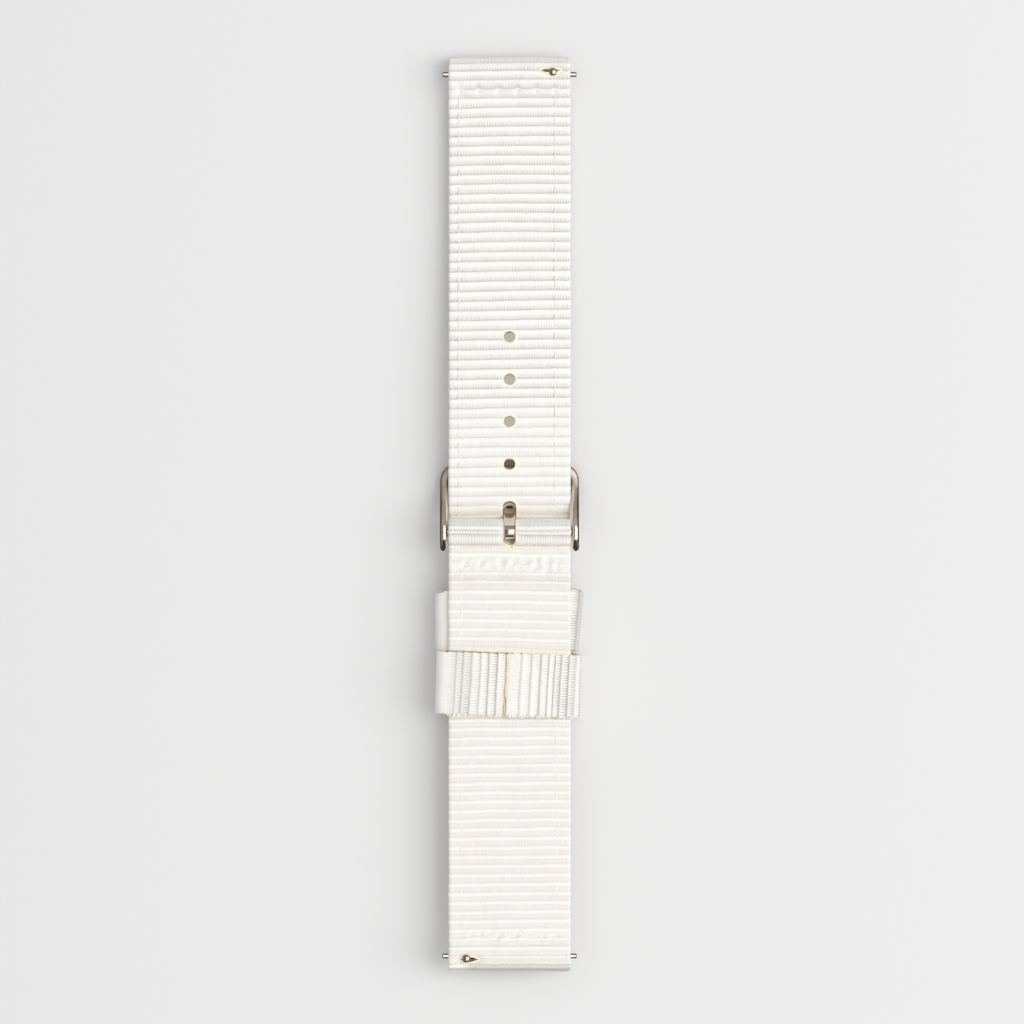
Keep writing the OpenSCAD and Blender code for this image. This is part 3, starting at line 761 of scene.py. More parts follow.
def group(name, inputs, outputs):
    """A shader node group. Inputs are (name, socket kind, value) and outputs (name, kind)."""
    tree = bpy.data.node_groups.new(name, "ShaderNodeTree")
    for label, kind, value in inputs:
        socket = tree.interface.new_socket(label, in_out="INPUT", socket_type=kind)
        if value is not None:
            socket.default_value = value
    for label, kind in outputs:
        tree.interface.new_socket(label, in_out="OUTPUT", socket_type=kind)
    nodes = Nodes(tree)
    return tree, nodes, nodes.add("NodeGroupInput").outputs, nodes.add("NodeGroupOutput").inputs


FLOAT, VECTOR = "NodeSocketFloat", "NodeSocketVector"


def warp_threads():
    """Threads that run along the webbing, over one rib and under the next."""
    tree, n, given, out = group(
        "Warp threads",
        [("Weave", VECTOR, None), ("Pitch", FLOAT, thread_pitch)],
        [("Height", FLOAT), ("Groove", FLOAT), ("Tone", FLOAT), ("Across rib", FLOAT)],
    )
    parts = n.split(given["Weave"])
    rib = n.math("FLOOR", parts["Y"])
    n.link(n.math("FRACT", parts["Y"]), out["Across rib"])
    odd = n.times(n.math("MODULO", n.absolute(rib), 2.0), 0.5)
    across = n.plus(n.math("DIVIDE", parts["X"], given["Pitch"]), odd)
    sway = n.noise(n.vector(n.times(parts["X"], 0.8), n.times(parts["Y"], 0.6)), 1.0, 2.0)
    across = n.plus(across, n.times(sway, 0.9))
    wave = n.absolute(n.math("SINE", n.times(across, math.pi)))
    n.link(n.math("POWER", wave, 0.6), out["Height"])
    n.link(n.spread(wave, 0.08, 0.62, 1.0, 0.0), out["Groove"])
    chance = n.add("ShaderNodeTexWhiteNoise", noise_dimensions="3D")
    n.link(n.vector(n.math("FLOOR", across), rib), chance.inputs["Vector"])
    n.link(n.spread(chance.outputs["Value"], 0.0, 1.0, -1.0, 1.0), out["Tone"])
    return tree


def fibre_grain():
    """Fine fibres and fuzz, as a height and a tone."""
    tree, n, given, out = group(
        "Fibre grain",
        [("Place", VECTOR, None), ("Stretch", VECTOR, (1, 1, 1))],
        [("Height", FLOAT), ("Tone", FLOAT)],
    )
    fine = n.noise(n.stretched(given["Place"], given["Stretch"]), 9000.0, 4.0, 0.7)
    n.link(n.spread(fine, 0.25, 0.75), out["Height"])
    broad = n.noise(given["Place"], 260.0, 4.0, 0.6)
    n.link(n.spread(broad, 0.3, 0.7, -1.0, 1.0), out["Tone"])
    return tree


def rubbed_metal():
    """Fine rubbing marks and smears on polished metal."""
    tree, n, given, out = group(
        "Rubbed metal",
        [("Place", VECTOR, None), ("Stretch", VECTOR, (1, 1, 1))],
        [("Height", FLOAT), ("Smear", FLOAT), ("Marks", FLOAT)],
    )
    marks = n.noise(n.stretched(given["Place"], given["Stretch"]), 5200.0, 5.0, 0.75)
    n.link(n.spread(marks, 0.35, 0.65), out["Height"])
    n.link(n.spread(marks, 0.55, 0.75), out["Marks"])
    n.link(n.spread(n.noise(given["Place"], 420.0, 3.0), 0.3, 0.7), out["Smear"])
    return tree


groups = {"threads": warp_threads(), "grain": fibre_grain(), "rubbed": rubbed_metal()}


# Materials


def material(name):
    """A new material with its nodes and its shader."""
    made = bpy.data.materials.new(name)
    made.use_nodes = True
    return made, Nodes(made.node_tree), made.node_tree.nodes["Principled BSDF"]


def placed(nodes, key, **values):
    """A shader group in a material, with its own values."""
    node = nodes.add("ShaderNodeGroup", node_tree=groups[key])
    nodes.set(node, values)
    return node.outputs


def bump(nodes, height, distance):
    """Fine relief this many millimetres deep."""
    node = nodes.add("ShaderNodeBump")
    nodes.set(node, {"Strength": 1.0, "Distance": distance * MM, "Height": height})
    return node.outputs["Normal"]


def stored(nodes, name):
    """Values that a mesh keeps on its points."""
    return nodes.add("ShaderNodeAttribute", attribute_name=name).outputs


def grey(level):
    return (level, level, level, 1.0)


# Colours mixed into the nylon: painted shade in the grooves between threads, random stains, a tan for
# soil, heat and painted shade, a grey painted shade, and a deep brown painted shadow at the slot ends
thread_groove_shade = (0.56, 0.54, 0.49, 1.0)
stained, soil_and_shade_tone = (0.87, 0.83, 0.70, 1.0), (0.74, 0.67, 0.47, 1.0)
shaded_nylon, slot_end_shadow = (0.47, 0.46, 0.42, 1.0), (0.18, 0.13, 0.05, 1.0)


def ribbed_nylon(name, rib, even, threads_shown, melt, stain_share):
    """White ribbed webbing. rib gives the colours from one valley over the rib to the next, a painted
    shade that is light on the crest and darker towards the valleys; even the colour where the ribs
    fade; threads_shown how clearly its threads stand out, by relief and by painted shade in the
    grooves between them."""
    made, n, shader = material(name)
    weave = stored(n, "weave")["Vector"]
    shown = n.split(weave)["Z"]
    threads = placed(n, "threads", Weave=weave)
    grain = placed(n, "grain", Place=n.place(), Stretch=(1.0, 0.35, 1.0))
    across = threads["Across rib"]
    marks = n.split(stored(n, "marks")["Vector"])
    soil_and_shade, teeth, shade = marks["X"], n.plus(1.0, marks["Y"]), marks["Z"]
    melted = stored(n, "melted")["Fac"]

    # The rib colours paint shade: light on the crest and darker towards the valleys.
    colour = n.mix(n.times(shown, 0.92), even, n.ramp(across, rib))
    # Painted shade in the grooves between the warp threads, stronger where teeth are marked.
    clear = n.ramp(across, [(at, grey(level)) for at, level in threads_shown])
    patchy = n.spread(n.noise(n.place(), 330.0, 2.0), 0.35, 0.65, 0.45, 1.25)
    groove = n.times(n.times(n.times(threads["Groove"], clear), patchy), teeth)
    colour = n.mix(n.times(groove, shown, clamp=True), colour, thread_groove_shade)
    tone = n.plus(n.plus(1.0, n.times(threads["Tone"], 0.014)), n.times(grain["Tone"], 0.014))
    toned = n.add("ShaderNodeVectorMath", operation="SCALE")
    n.link(colour, toned.inputs[0])
    n.link(tone, toned.inputs["Scale"])
    stain = n.spread(n.noise(n.place(), 120.0, 3.0), 0.48, 0.75, 0.0, stain_share)
    colour = n.mix(stain, toned.outputs[0], stained)
    colour = n.mix(n.times(melted, 0.8), colour, melt)
    # Soil values paint heat tan, stains and painted shade; above 1 they paint a deep brown painted
    # shadow.
    colour = n.mix(n.times(soil_and_shade, n.spread(patchy, 0.45, 1.25, 0.8, 1.0)), colour, soil_and_shade_tone)
    colour = n.mix(shade, colour, shaded_nylon)
    colour = n.mix(n.spread(soil_and_shade, 1.0, 2.0), colour, slot_end_shadow)

    relief = n.times(n.plus(0.25, n.times(clear, 1.6)), teeth)
    height = n.times(n.times(threads["Height"], relief), shown)
    height = n.plus(height, n.times(grain["Height"], 0.14))
    unmelted = n.math("SUBTRACT", 1.0, melted, clamp=True)
    n.set(shader, {
        "Base Color": colour, "Normal": bump(n, n.times(height, unmelted), 0.07),
        "Roughness": n.spread(melted, 0.0, 1.0, 0.5, 0.34), "Specular IOR Level": 0.4,
        "Sheen Weight": 0.1, "Sheen Roughness": 0.4})
    painted_nylon_glow(n, shader, stored(n, "painted_light")["Fac"])
    return made


def painted_nylon_glow(nodes, shader, painted_light=0.0):
    """Painted light: a glow on the nylon for light through it, in its folds and where metal mirrors
    it.
    """
    painted_fold_glow, painted_reflection_tone = (1.0, 0.97, 0.93, 1), (0.84, 0.68, 0.48, 1)
    mirrored = nodes.add("ShaderNodeLightPath").outputs["Is Glossy Ray"]
    nodes.set(shader, {
        "Emission Color": nodes.mix(mirrored, painted_fold_glow, painted_reflection_tone),
        "Emission Strength": nodes.math("MAXIMUM", nodes.times(mirrored, 0.21), painted_light)})


def sewing_thread():
    """Twisted white thread."""
    made, n, shader = material("sewing_thread")
    ply = n.absolute(n.math("SINE", n.times(stored(n, "twist")["Fac"], 14.0)))
    grain = placed(n, "grain", Place=n.place())
    height = n.plus(ply, n.times(grain["Height"], 0.3))
    # Darker in the grooves between the plies: painted shade.
    n.set(shader, {
        "Base Color": n.mix(ply, (0.93, 0.91, 0.89, 1.0), (0.97, 0.95, 0.93, 1.0)),
        "Normal": bump(n, height, 0.04), "Roughness": 0.5, "Sheen Weight": 0.1})
    return made


def melted_nylon(name, pale, tan, share, burnt=None, painted_light=0.0):
    """Nylon sealed with heat: glossy, creamy and a little tanned. burnt is where along X it is
    reddened and has dark spots."""
    made, n, shader = material(name)
    place = n.place()
    patch = n.spread(n.noise(place, 900.0, 3.0, 0.6), 0.4, 0.66)
    colour = n.mix(n.times(patch, share), pale, tan)
    if burnt:
        reddened, charred = (0.82, 0.52, 0.36, 1.0), (0.30, 0.12, 0.06, 1.0)
        middle_x, reach = (burnt[0] + burnt[1]) / 2 * MM, (burnt[1] - burnt[0]) / 2 * MM
        off = n.absolute(n.math("SUBTRACT", n.split(place)["X"], middle_x))
        inside = n.spread(off, reach * 0.4, reach * 1.3, 1.0, 0.0)
        spots = n.spread(n.noise(place, 1500.0, 2.0, 0.5), 0.55, 0.64)
        colour = n.mix(n.times(inside, 0.6), colour, reddened)
        colour = n.mix(n.times(inside, spots), colour, charred)
    n.set(shader, {
        "Base Color": colour, "Normal": bump(n, n.noise(place, 2600.0, 4.0), 0.05),
        "Roughness": n.spread(patch, 0.0, 1.0, 0.30, 0.46)})
    painted_nylon_glow(n, shader, painted_light)
    return made


def steel(name, colour, smeared, rough, stretch, scratch, dull_and_shaded_from=None):
    """Steel with rubbing marks this deep, and its roughness from clean to smeared. Towards the outer
    bar, from the place given last, it goes rougher and gets a painted shade."""
    made, n, shader = material(name)
    rubbed = placed(n, "rubbed", Place=n.place(), Stretch=stretch)
    colour = n.mix(rubbed["Smear"], colour, smeared)
    rough = n.plus(n.spread(rubbed["Smear"], 0.0, 1.0, *rough), n.times(rubbed["Marks"], 0.05))
    # Painted shade where the frame dips under the strap, with more roughness.
    if dull_and_shaded_from:
        shaded_steel_tone, run_out = (0.32, 0.295, 0.24, 1), 1.4
        y = n.split(n.place())["Y"]
        dull_and_shade = n.spread(y, dull_and_shaded_from * MM, (dull_and_shaded_from + run_out) * MM, 0.0, 0.5)
        colour, rough = n.mix(dull_and_shade, colour, shaded_steel_tone), n.plus(rough, dull_and_shade)
    n.set(shader, {
        "Base Color": colour, "Roughness": rough, "Metallic": 1.0,
        "Normal": bump(n, rubbed["Height"], scratch)})
    return made


long_white, short_white = (0.968, 0.942, 0.948, 1), (0.972, 0.946, 0.926, 1)
# Each rib list is a painted shade over one rib, from valley to crest and down to the next valley.
long_nylon = ribbed_nylon(
    "long_webbing_nylon",
    rib=[(0.0, (0.73, 0.71, 0.65, 1)), (0.10, long_white), (0.42, long_white),
         (0.66, (0.90, 0.88, 0.845, 1)), (0.90, (0.82, 0.80, 0.74, 1)),
         (1.0, (0.69, 0.67, 0.60, 1))],
    even=(0.90, 0.88, 0.84, 1),
    threads_shown=[(0.0, 0.2), (0.12, 0.04), (0.4, 0.08), (0.62, 0.28), (1.0, 0.6)],
    melt=(0.94, 0.905, 0.79, 1), stain_share=0.10)
short_nylon = ribbed_nylon(
    "short_webbing_nylon",
    rib=[(0.0, (0.82, 0.79, 0.735, 1)), (0.10, short_white), (0.36, short_white),
         (0.47, (0.845, 0.81, 0.775, 1)), (0.72, (0.87, 0.84, 0.795, 1)),
         (1.0, (0.82, 0.79, 0.735, 1))],
    even=(0.88, 0.85, 0.81, 1),
    threads_shown=[(0.0, 0.16), (0.12, 0.02), (0.36, 0.03), (0.5, 0.14), (1.0, 0.2)],
    melt=(0.93, 0.89, 0.77, 1), stain_share=0.14)
keeper_nylon = ribbed_nylon(
    "keeper_webbing_nylon",
    rib=[(0.0, (0.76, 0.73, 0.68, 1)), (0.14, short_white), (0.50, short_white),
         (0.74, (0.90, 0.87, 0.84, 1)), (1.0, (0.76, 0.73, 0.68, 1))],
    even=(0.90, 0.87, 0.845, 1),
    threads_shown=[(0.0, 0.4), (0.15, 0.12), (0.42, 0.28), (0.6, 0.55), (1.0, 0.65)],
    melt=(0.90, 0.85, 0.70, 1), stain_share=0.08)
sewn = sewing_thread()
sealed = melted_nylon("sealed_nylon", pale=(0.93, 0.91, 0.80, 1), tan=(0.86, 0.82, 0.62, 1),
                      share=0.55)
# The flap's end seal glows a little: painted light.
singed = melted_nylon("singed_nylon", pale=(0.82, 0.77, 0.62, 1), tan=(0.72, 0.63, 0.43, 1),
                      share=0.7, burnt=(1.8, 6.2), painted_light=0.2)
tanned = melted_nylon("tanned_nylon", pale=(0.84, 0.72, 0.56, 1), tan=(0.60, 0.42, 0.25, 1),
                      share=0.8)
along_y, along_x, every_way = (1.0, 0.25, 1.0), (0.2, 1.0, 1.0), (1.0, 1.0, 1.0)
frame_metal = steel("frame_steel_finish", (0.74, 0.70, 0.65, 1), (0.60, 0.56, 0.51, 1),
                    rough=(0.05, 0.12), stretch=along_y, scratch=0.002, dull_and_shaded_from=3.5)
# The tang's and the knobs' steel are darker copies of the frame's steel: painted shade, for the tang
# in the slot and for the knobs' dark rims.
tang_metal = steel("tang_steel_finish", (0.62, 0.575, 0.54, 1), (0.52, 0.475, 0.44, 1),
                   rough=(0.05, 0.12), stretch=along_y, scratch=0.002)
knob_metal = steel("knob_steel_finish", (0.38, 0.35, 0.30, 1), (0.32, 0.29, 0.25, 1),
                   rough=(0.05, 0.10), stretch=every_way, scratch=0.002)
pin_metal = steel("pin_steel_finish", (0.70, 0.67, 0.64, 1), (0.62, 0.59, 0.56, 1),
                  rough=(0.08, 0.14), stretch=every_way, scratch=0.002)
bar_metal = steel("bar_steel_finish", (0.66, 0.64, 0.61, 1), (0.5, 0.47, 0.44, 1),
                  rough=(0.16, 0.3), stretch=along_x, scratch=0.006)
spring_metal = steel("spring_steel_finish", (0.52, 0.51, 0.50, 1), (0.40, 0.39, 0.38, 1),
                     rough=(0.28, 0.45), stretch=every_way, scratch=0.004)


# Webbing pieces


def hole_y(number):
    """Where an adjustment hole is, counted from the tip."""
    return tip_y + first_hole + number * hole_pitch


def round_gap(y, r):
    """A round hole."""
    return lambda a, b: np.hypot(a - y, b) - r


def pill_gap(first, last, r):
    """A slot along the strap, between the middles of its round ends."""
    return lambda a, b: np.hypot(a - np.clip(a, first, last), b) - r


def eye_gap(y, x):
    """An eye-shaped slit across the strap."""
    def gap(a, b):
        along = np.clip(np.abs(b - x) / slit_half_len, 0, 2)
        return np.abs(a - y) - slit_half_w * (1 - along**slit_taper)
    return gap


def beside_slit(web, slit):
    """How near a webbing's points are to its slit, 1 in the slit and less away from it."""
    def near_it(s, b, reach):
        return about(np.clip(slit(web.where(s)[0], b), 0, far_off), 0, reach)
    return near_it


def rounded_end(corner_y, r):
    """Keeps the strap's round tip, and cuts its corners away."""
    def gap(a, b):
        du, dv = corner_y - a, np.abs(b) - (half_strap - r)
        out = np.hypot(np.maximum(du, 0), np.maximum(dv, 0))
        return np.where((du > 0) & (dv > 0), r - out, 5.0)
    return gap


def ring_path(mark, y, x, r, count=28):
    """(s, b) points round a hole. mark turns a place along the strap into s."""
    turn = np.linspace(0, 2 * math.pi, count, endpoint=False)
    return np.column_stack([mark(y + r * np.cos(turn)), x + r * np.sin(turn)])


def line_stitches(s0, s1, b, length=stitch_len, gap=0.12):
    """The stitches of a row along the webbing, from s0 to s1."""
    count = max(1, round(abs(s1 - s0) / length))
    step = (s1 - s0) / count
    starts = s0 + step * np.arange(count)
    pause = gap * np.sign(step)
    return [(s + pause, b, s + step - pause, b) for s in starts]


def row_stitches(s, b0, b1, seed, length=stitch_len, gap=0.12, sway=0.12):
    """The stitches of a row across the webbing, each a little out of line."""
    count = round(abs(b1 - b0) / length)
    step = (b1 - b0) / count
    rng = np.random.default_rng(seed)
    off = rng.uniform(-sway, sway, count + 1)
    return [
        (s + off[k], b0 + step * k + gap, s + off[k + 1], b0 + step * (k + 1) - gap)
        for k in range(count)
    ]


def build_long_strap():
    """One webbing from the tip up the skin side, round the lug bar and back down to the tip."""
    web = Webbing(long_line(), half_strap, web_t, long_depth, cushion)
    middle_s = web.length / 2
    skin_end = web.mark(long_end_y - loop_r, 0, middle_s)
    fold_end, front_start = skin_end + math.pi * bend_r, web.length - skin_end
    skin_mark, front_mark = web.between(0, skin_end), web.between(front_start, web.length)
    seen = [(skin_mark(y), number) for y, number in long_valleys]
    (start, _), (last, number) = seen[0], seen[-1]
    folded = number + (skin_end - last + math.pi * loop_r) / lug_pitch
    rest = folded + (web.length - fold_end) / long_pitch
    web.follow((0, -start / long_pitch), *seen, (fold_end, folded), (web.length, rest))
    slit_x, slit_y = half_strap - slit_inset, long_lug_y + slit_lean
    slit = eye_gap(slit_y, slit_x)
    by_slit = beside_slit(web, slit)

    row, front_row_s = skin_mark(long_row_y), front_mark(long_row_y)
    left, right = sides = (long_stitch_left, long_stitch_right)
    skin_row, front_row = row_stitches(row, *sides, 16), row_stitches(front_row_s, *sides, 17)
    from_tip, columns = 6.0, []
    for x in sides:
        columns += line_stitches(from_tip, row, x)
        columns += line_stitches(front_row_s, web.length - from_tip, x)
    row_press = pinch(skin_row + front_row, b_reach=0.24, s_reach=0.5, deep=0.24)
    column_press = pinch(columns, b_reach=0.2, s_reach=0.25, deep=0.03)
    past = 0.8
    bulges = pinch([(s + past, b, t + past, c) for s, b, t, c in skin_row],
                   b_reach=0.4, s_reach=0.5, deep=0.32)

    def skew(s, b):
        """The ribs lie a little aslant and bowed, and bulge beyond the row of stitches."""
        slant, bow, wave, straight_end = 0.0135, 0.10, 0.05, 3
        side = np.where(s < middle_s, 1.0, -1.0)
        fade = ease(s / straight_end) * ease((web.length - s) / straight_end)
        nudge = side * slant * b + bow * (1 - (b / half_strap) ** 2)
        return fade * (nudge + wave * drift(3, 7, s, b)) + bulges(s, b)

    def press(s, b):
        """The stitches draw the face in, with a groove along their row and a pillow beside it."""
        across = (b > left) & (b < right)
        pillow = 0.08 * about(s, row, 0.5) * across
        groove = 0.09 * about(s, row, 0.12) * across
        mess = 0.07 * (about(s, row, 1.6) * about(b, left, 1.4)) * drift(23, 0.9, s, b)
        lips = lip_deep * by_slit(s, b, lip_reach) * (s < middle_s)
        return row_press(s, b) + column_press(s, b) + groove - pillow + mess + lips

    def soften(s, b):
        """Ribs fade at the corner of the stitching and, by wear, towards the tip."""
        corner = about(s, row, 1.3) * about(b, left - 0.6, 1.3)
        worn_from, worn_over = 20, 6
        return 1 - 0.7 * corner - 0.35 * ease((worn_from - web.where(s)[0]) / worn_over)

    worn_y = hole_y(worn_hole)
    slot = (worn_y - worn_back + worn_r, worn_y + worn_front - worn_r)
    worn_slot = pill_gap(*slot, worn_r)

    def slump(s, points, from_cut):
        """The worn slot's far end leans towards the tang, more so lower down."""
        y, z = points[..., 1], points[..., 2]
        at_far_end = ease((y - slot[1] + 0.2) / 0.8) * ease((slot[1] + worn_r + 0.8 - y) / 0.5)
        deep = np.clip((long_z(y) + strap_t / 2 - z) / strap_t, 0, 1)
        moved = points.copy()
        moved[..., 1] -= 1.02 * deep * at_far_end * about(from_cut, 0, slump_reach)
        return moved

    def far_edge(s, b):
        """The worn slot's edge, at its end away from the tang."""
        y = web.where(s)[0]
        return (worn_slot(y, b) < edge_band) & (y > slot[1] + 0.3) & (s < middle_s)

    def shade(s, b):
        shoulder = 0.18 * about(s, skin_end + 0.7 * bend_r, 1.0)
        return np.maximum(shoulder, 0.5 * far_edge(s, b))

    by_loop = skin_mark(bar_y + loop_far)

    # Painted shade above the loop, and a deep brown painted shadow along the worn slot's far edge;
    # the halo by the slit is a heat stain.
    def soil_and_shade(s, b):
        shade_above_loop = 0.22 * about(s, by_loop + 0.4, 1.4)
        shade_and_stains = np.maximum(shade_above_loop, 0.3 * by_slit(s, b, 0.7) * (s < middle_s))
        return np.maximum(shade_and_stains, 1.95 * far_edge(s, b))

    web.skew, web.press, web.soften, web.slump = skew, press, soften, slump
    web.shade, web.soil_and_shade = shade, soil_and_shade
    cuts = [(round_gap(hole_y(i), hole_r), 0, web.length)
            for i in range(hole_count) if i != worn_hole]
    tip_corner = 6.0
    cuts += [(worn_slot, 0, web.length), (slit, 0, middle_s),
             (rounded_end(tip_y + tip_corner, tip_corner), 0, web.length)]
    strap = web.piece("long_strap_webbing", long_nylon, cuts, seed=31)
    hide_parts("long_strap")
    parts = []
    for i in range(hole_count):
        for number, mark in enumerate((skin_mark, front_mark)):
            if i == worn_hole:
                path = slot_path(mark, *slot, worn_r + rim_w)
            else:
                path = ring_path(mark, hole_y(i), 0, hole_r + rim_w)
            parts.append(bead(web, f"rim_{i}_{number}", path, sealed, lift=-0.07, across=rim_w,
                              high=0.1, closed=True, seed=40 + i))
    parts.append(slit_bead(web, skin_mark, slit_y, slit_x, 50))
    rims = joined("long_strap_melted_rims", parts)
    seal = bead(web, "long_strap_tip_seal", tip_path(half_strap, tip_corner), sealed,
                lift=-web_t / 2, across=0.13, high=0.5, seed=51)
    ways = columns + skin_row + front_row
    return [strap, rims, seal, stitches(web, "long_strap_stitching", ways, sewn, follow=0.5)]


def slot_path(mark, first, last, r, count=14):
    """(s, b) points round a slot with round ends."""
    turn = np.linspace(-math.pi / 2, math.pi / 2, count)
    far = np.column_stack([last + r * np.cos(turn), r * np.sin(turn)])
    side = np.linspace(last, first, 6)[1:-1]
    near = np.column_stack([first - r * np.cos(turn), -r * np.sin(turn)])
    right = np.column_stack([side, 0 * side + r])
    left = np.column_stack([side[::-1], 0 * side - r])
    outline = np.vstack([far, right, near, left])
    return np.column_stack([mark(outline[:, 0]), outline[:, 1]])


def eye_path(mark, y, x, count=12):
    """(s, b) points round an eye-shaped slit."""
    u = np.linspace(-1, 1, count)
    high = slit_half_w * (1 - np.abs(u) ** slit_taper)
    there = np.column_stack([y + high, x + slit_half_len * u])
    back = np.column_stack([y - high, x + slit_half_len * u])[::-1][1:-1]
    outline = np.vstack([there, back])
    return np.column_stack([mark(outline[:, 0]), outline[:, 1]])


def slit_bead(web, mark, y, x, seed):
    """The melted rim of a release slit."""
    return bead(web, "slit", eye_path(mark, y, x), sealed, lift=seal_lift, across=0.18, high=0.16,
                closed=True, seed=seed, rough=0.3)


def tip_path(half, r, count=14):
    """(s, b) points round the strap's tip."""
    turn = np.linspace(0, math.pi / 2, count)
    x, s = half - r + r * np.cos(turn), r - r * np.sin(turn)
    across = np.linspace(half - r, r - half, count)[1:-1]
    right, left = np.column_stack([s, x]), np.column_stack([s[::-1], -x[::-1]])
    return np.vstack([right, np.column_stack([0 * across, across]), left])


def build_short_strap():
    """One webbing from the flap's cut end, round the buckle bar, along the front, round the lug
    bar and back to the fixed keeper."""
    web = Webbing(short_line(), half_strap, web_t, short_depth, ridge)
    flap_len = bar_y - fixed_far_y - trap_gap
    flap_end = web.mark(bar_y, 0, flap_len * 1.3)
    loop_end = flap_end + math.pi * bend_r
    fold_y = short_end_y + loop_r
    fold_mark = web.length - (fixed_far_y - trap_gap - fold_y)
    fold_start, fold_middle = fold_mark - math.pi * bend_r, fold_mark - math.pi * bend_r / 2

    flap_mark, front_mark = web.between(0, flap_end), web.between(loop_end, fold_start)
    back_mark, lug_mark = web.between(fold_mark, web.length), web.between(fold_middle, web.length)

    def skin_place(y):
        if y > bar_y:
            return web.mark_on_fold(y, bar_y, flap_end)
        if y < fold_y:
            return web.mark_on_fold(y, fold_y, fold_mark)
        return back_mark(y) if y < fixed_far_y else flap_mark(y)

    seen = [(skin_place(y), number) for y, number in flap_valleys]
    (anchor, _), (last, number) = seen[0], seen[-1]
    back = [(skin_place(y), rib) for y, rib in back_valleys]
    (back_anchor, _), (fold_rib, fold_number) = back[0], back[-1]
    between_them = round((fold_rib - last) / short_pitch) + number - fold_number
    seen += [(s, rib + between_them) for s, rib in back]
    web.follow(
        (0, -anchor / short_pitch),
        *seen,
        (web.length, between_them + (web.length - back_anchor) / short_pitch))
    slot_far = bar_y - loop_r
    slot_middle, slot_past = slot_far + worn_r, bar_y + 20
    slot_gap = pill_gap(slot_middle, slot_past, worn_r)
    slit_x, slit_y = slit_inset - half_strap, short_lug_y - slit_lean
    slit = eye_gap(slit_y, slit_x)
    by_slit = beside_slit(web, slit)

    flap_row, back_row = flap_mark(flap_row_y), back_mark(short_row_y)
    front_row, front_lug_row = front_mark(flap_row_y), front_mark(short_row_y)
    left, right = sides = (short_stitch_left, short_stitch_right)
    columns, rows = [], []
    for x in sides:
        columns += line_stitches(back_row, web.length - 1.0, x)
        columns += line_stitches(front_row, front_lug_row, x)
        columns += line_stitches(1.0, flap_row, x)
    for seed, row in enumerate((flap_row, front_row, back_row, front_lug_row)):
        rows += row_stitches(row, *sides, 61 + seed)
    row_press = pinch(rows, deep=0.08)
    column_press = pinch(columns, b_reach=0.2, s_reach=0.25, deep=0.02)
    loop_valley, fold_valley = flap_mark(loop_valley_y), skin_place(back_valleys[-2][0])

    def skew(s, b):
        """The ribs lie aslant and bowed on the flap, less so on the back, and crumple at the rows
        of stitches."""
        on_flap = s < flap_end
        slope = np.where(on_flap, -0.021 + 0.010 * ease(s / flap_end), 0.0)
        past = ease((s - back_anchor) / (web.length - back_anchor))
        slope = np.where(s > fold_mark, 0.010 * (1 - past), slope)
        bow = np.where(on_flap, 0.12 * ease((flap_end - s) / flap_end + 0.5), 0.0)
        bow = np.where(s > fold_mark, 0.05, bow)
        fade = ease((np.abs(s - loop_end)) / 2)
        waves = 0.045 * drift(7, 6, s, b)
        crumple = 0.13 * about(s, flap_row, 1.3) * drift(8, 1.1, s, b)
        crumple += 0.10 * about(s, back_row, 1.1) * drift(9, 1.4, s, b)
        return fade * (slope * b + bow * (1 - (b / half_strap) ** 2) + waves) + crumple

    def press(s, b):
        """The stitches draw the face in and wrinkle it, and the bottom fold has a crease."""
        inside = ease((np.minimum(b - left, right - b) + 0.8) / 0.6)
        flat = 0.05 * about(s, flap_row, 1.3) * inside
        mess = drift(71, 0.45, s, b) + 0.7 * drift(73, 1.3, s, b)
        mess = mess * about(s, flap_row, 1.25) * inside
        low = about(s, back_row, 1.3) * inside * (0.3 + drift(72, 0.9, s, b))
        crease = 0.12 * about(s, fold_valley, 0.2) * ease((b + 6) / 2)
        wrinkles = row_press(s, b) + flat + 0.10 * mess + 0.07 * low
        lips = lip_deep * by_slit(s, b, lip_reach) * (s > fold_middle)
        return wrinkles + column_press(s, b) + crease + lips

    def soften(s, b):
        """Ribs fade at the rows of stitches and stand out on the loop."""
        flap, back = 0.7 * about(s, flap_row, 1.2), 0.45 * about(s, back_row, 1.1)
        loop = 0.6 * about(s, flap_end - 0.4, 2.0)
        return 1 + loop - flap - back

    def folded_under(s):
        """Past the last valley of the bottom fold, where it turns away from the camera's side."""
        on_fold = s > fold_mark - math.pi * bend_r * 0.7
        return ease((fold_valley - 0.1 - s) / 0.16) * on_fold

    # Painted shade in the valley where the flap leaves the loop and on the bottom fold, a deep brown
    # painted shadow at the slot's lower end, and heat tan at the flap's cut end and round the slit.
    def soil_and_shade(s, b):
        valley_shade = 0.6 * about(s, loop_valley, 0.3) * ease((9.6 - np.abs(b)) / 2)
        cut_end = 0.5 * about(s, 0, 0.55)
        near_slit = 0.4 * by_slit(s, b, 0.6) * (s > fold_middle)
        y = web.where(s)[0]
        slot_end = (slot_gap(y, b) < edge_band) & (y < slot_middle - 0.3) & (s < flap_end)
        return np.maximum.reduce(
            [valley_shade, cut_end, near_slit, 0.2 * folded_under(s), 1.6 * slot_end])

    def teeth(s, b):
        return 1.3 * about(s, flap_end - 1.2, 2.1) + 2.0 * folded_under(s)

    def shade(s, b):
        top_band = 0.15 * about(s, flap_end + 2.2, 0.8)
        below = fold_valley - 0.1 - s
        fold_line = 0.65 * about(below, 0, 0.16) + 0.35 * ease(below / 0.2)
        fold_line = fold_line + 0.3 * about(below, 0.75, 0.14)
        return top_band + fold_line * ease((b + 8.5) / 3) * (s > fold_start)

